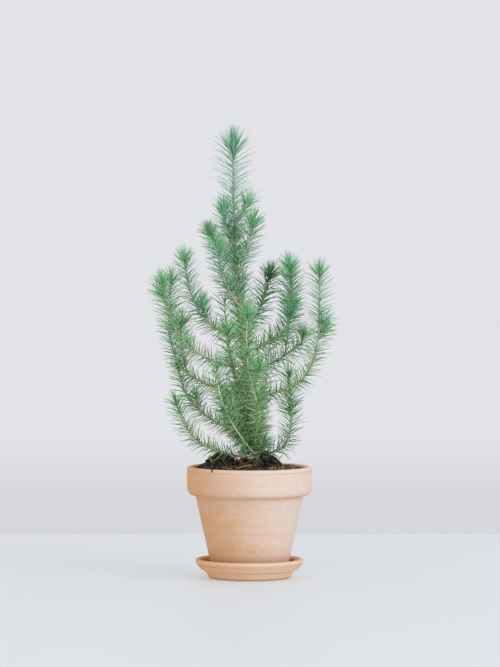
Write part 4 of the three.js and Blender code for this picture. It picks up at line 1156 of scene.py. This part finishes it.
for name, course, bare, radius_at, kind in shoots:
    cast = CAST_OF.get(name, "green")
    fullness = FULLNESS.get(name, 1)
    loose = cast == "low" or kind == "spur" or fullness < 0.6 or name in LOOSE_TUFTS
    crowd = shoot_crowd(course.length * (1 - bare), fullness,
                        LOW_TUFT_CROWD if loose else TUFT_CROWD)
    if kind == "limb":
        grow(name, cast, course, radius_at, FREE_OF_TRUNK / course.length, crowd,
             old=0.35 if cast == "low" else 0.15)
    else:
        grow(name, cast, course, radius_at, FREE_OF_BOUGH, crowd,
             old=0.25 if cast == "low" else 0.1)


trunk_start = (NEEDLED_FROM - TRUNK_GROUND) / (TRUNK_TIP - TRUNK_GROUND)
grow("trunk", "leader", trunk_course, trunk_taper, trunk_start, trunk_crowd, leads=True)

roots, chord, bow, reach, width, tone, owner = (np.concatenate(rows) for rows in zip(*grown))
height = roots[:, 2]
at_foot = (owner == 0) & (height < FOOT_TONES_BELOW)
tone[at_foot] = luck.choice([tone_names.index(tone_name) for tone_name in FOOT_TONES],
                            at_foot.sum(), p=list(FOOT_TONES.values()))
dried = at_foot & (height > DRIED_BETWEEN[0]) & (height < DRIED_BETWEEN[1])
tone[dried & (luck.random(len(tone)) < DRIED)] = tone_names.index("dry")


def needle_mesh(roots, chord, bow, reach, width):
    """Flat, pointed and slightly bowed needles, each a three-sided blade with its own twist."""
    count = len(roots)
    flat_way = np.cross(chord, luck.normal(size=(count, 3)))
    flat_way /= np.linalg.norm(flat_way, axis=1, keepdims=True)
    thick_way = np.cross(chord, flat_way)
    corners = [(1, 0), (-0.45, NEEDLE_FLATNESS), (-0.45, -NEEDLE_FLATNESS)]
    rings = []
    for along, wide in PROFILE:
        centre = roots + reach[:, None] * (chord * along + bow * (along * along - along))
        half = (NEEDLE_HALF_WIDTH * width * wide)[:, None]
        for flat_share, thick_share in corners:
            rings.append(centre + half * (flat_share * flat_way + thick_share * thick_way))
    rings.append(roots + reach[:, None] * chord)
    points = np.stack(rings, 1)
    faces = [(0, 2, 1)]
    for ring in range(len(PROFILE) - 1):
        for corner in range(3):
            a, b = ring * 3 + corner, ring * 3 + (corner + 1) % 3
            faces += [(a, b, b + 3), (a, b + 3, a + 3)]
    last = (len(PROFILE) - 1) * 3
    faces += [(last + corner, last + (corner + 1) % 3, last + 3) for corner in range(3)]
    size = points.shape[1]
    return points.reshape(-1, 3), (np.array(faces)[None]
                                   + (np.arange(count) * size)[:, None, None]).reshape(-1, 3)


def waxy(name, colour):
    """Living needles: waxy, half matt, one plain green for each kind of spray."""
    finish, _, shader = new_finish(name, 0.42, 1.45)
    shader.inputs["Base Color"].default_value = linear(colour)
    shader.inputs["Specular IOR Level"].default_value = 0.5
    return finish


for number, (tone_name, colour) in enumerate(TONES.items()):
    mine = tone == number
    points, faces = needle_mesh(roots[mine], chord[mine], bow[mine], reach[mine], width[mine])
    needles = made_piece("needles_" + tone_name + "_green" if tone_name != "dry" else "needles_dry",
                         points, faces, waxy("pine needle, " + tone_name, colour))
    masses = ["needles_" + owners[index] for index in np.unique(owner[mine]) if index]
    if (owner[mine] == 0).any():
        masses += TRUNK_MASSES
    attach(needles, "root")
    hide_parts(*masses)

# ------------------------------------------------------------------ dead twigs and fallen needles
# What the plant has dropped: reddish dead twigs that still stand in the peat at its foot, a few
# straws, and brown needles that lie on the ground. All of it is dry and brittle.

TWIG_RUST, TWIG_UMBER = 0x9A5E3C, 0x6A452F
STRAW_GOLD, STRAW_OLIVE = 0xBD9A55, 0x97894F
FALLEN_BROWN = 0x7D5334
FALLEN, FALLEN_LENGTHS, FALLEN_LIFTS = 64, (12, 24), (0.5, 3)
FALLEN_WITHIN, FALLEN_TO = 62, 71  # radii inside which they start and end
FALLEN_FRONT = -36  # none lie nearer the front
DEAD_TWIGS = [  # places along each, and half its thickness at both ends
    ([(23, -16, 148), (22.6, -16, 158), (21.5, -15, 168), (17, -14, 178), (12, -12, 185)],
     1.1, 0.5),
    ([(-31, -18, 154), (-36, -16, 161), (-42, -14, 170), (-47, -12, 178), (-49, -10, 185)],
     0.7, 0.4),
    ([(-4, -20, 153), (-11, -18, 157), (-19, -16, 164), (-25, -14, 173), (-31, -12, 181)],
     1.3, 0.6),
    ([(2, -6, 166), (-6, -8, 164.5), (-14, -12, 163), (-22, -16, 157)], 0.9, 0.6),
    ([(45, -4, 167), (40, -8, 163), (35, -12, 157)], 0.5, 0.7),
    ([(21, -18, 157), (28, -22, 156), (34, -26, 152)], 0.8, 0.5),
]
STRAWS = [
    ([(3, -26, 155), (-4, -26, 154.5), (-12, -28, 154), (-18, -32, 150)], 1.0, 0.8),
    ([(-53, -12, 167), (-54, -14, 165), (-52, -18, 161), (-51, -20, 158)], 1.0, 0.6),
    ([(20, -12, 161), (28, -14, 163), (36, -16, 160)], 0.7, 0.5),
    ([(-52, -20, 159), (-45, -22, 163), (-40, -24, 166)], 0.5, 0.4),
]


def strand(points, start, end):
    """The skin of a thin curved stem through some places."""
    course = bezier(*[np.array(point, float) for point in points])
    return limb_mesh(course, 0, 1, straight_taper(start, end), 7, 1.5, stem_relief)


for name, strands, dark, light in (("dead_twigs", DEAD_TWIGS, TWIG_UMBER, TWIG_RUST),
                                   ("straws", STRAWS, STRAW_OLIVE, STRAW_GOLD)):
    dead = made_piece(name, *joined([strand(*each) for each in strands]),
                      bark("dry stem, " + name.replace("_", " "), dark, light, 6, 1.1))
    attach(dead, "root")

turn, away = luck.uniform(0, 2 * math.pi, FALLEN), 66 * np.sqrt(luck.random(FALLEN))
x, y = away * np.cos(turn), away * np.sin(turn)
near_stem = luck.random(FALLEN) < 0.4
x = np.where(near_stem, STEM_FOOT[0] + luck.normal(-8, 17, FALLEN), x)
y = np.where(near_stem, STEM_FOOT[1] + luck.normal(-12, 14, FALLEN), y)
inside = (np.hypot(x, y) < FALLEN_WITHIN) & (y > FALLEN_FRONT)
x, y = x[inside], y[inside]
count = len(x)
heading = luck.uniform(0, 2 * math.pi, count)
length = luck.uniform(*FALLEN_LENGTHS, count)
start = on_ground(x, y, luck.uniform(*FALLEN_LIFTS, count))
end_x, end_y = x + length * np.cos(heading), y + length * np.sin(heading)
shorter = np.minimum(1, FALLEN_TO / np.maximum(np.hypot(end_x, end_y), 1))
end = on_ground(end_x * shorter, end_y * shorter, luck.uniform(*FALLEN_LIFTS, count))
length = np.linalg.norm(end - start, axis=1)
chord = (end - start) / length[:, None]
bow = luck.normal(0, 0.1, (count, 3)) + [0, 0, -0.25]
points, faces = needle_mesh(start, chord, bow, length, luck.uniform(0.9, 1.3, count))
fallen = made_piece("fallen_needles", points, faces,
                    waxy("pine needle, fallen and brown", FALLEN_BROWN))
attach(fallen, "root")
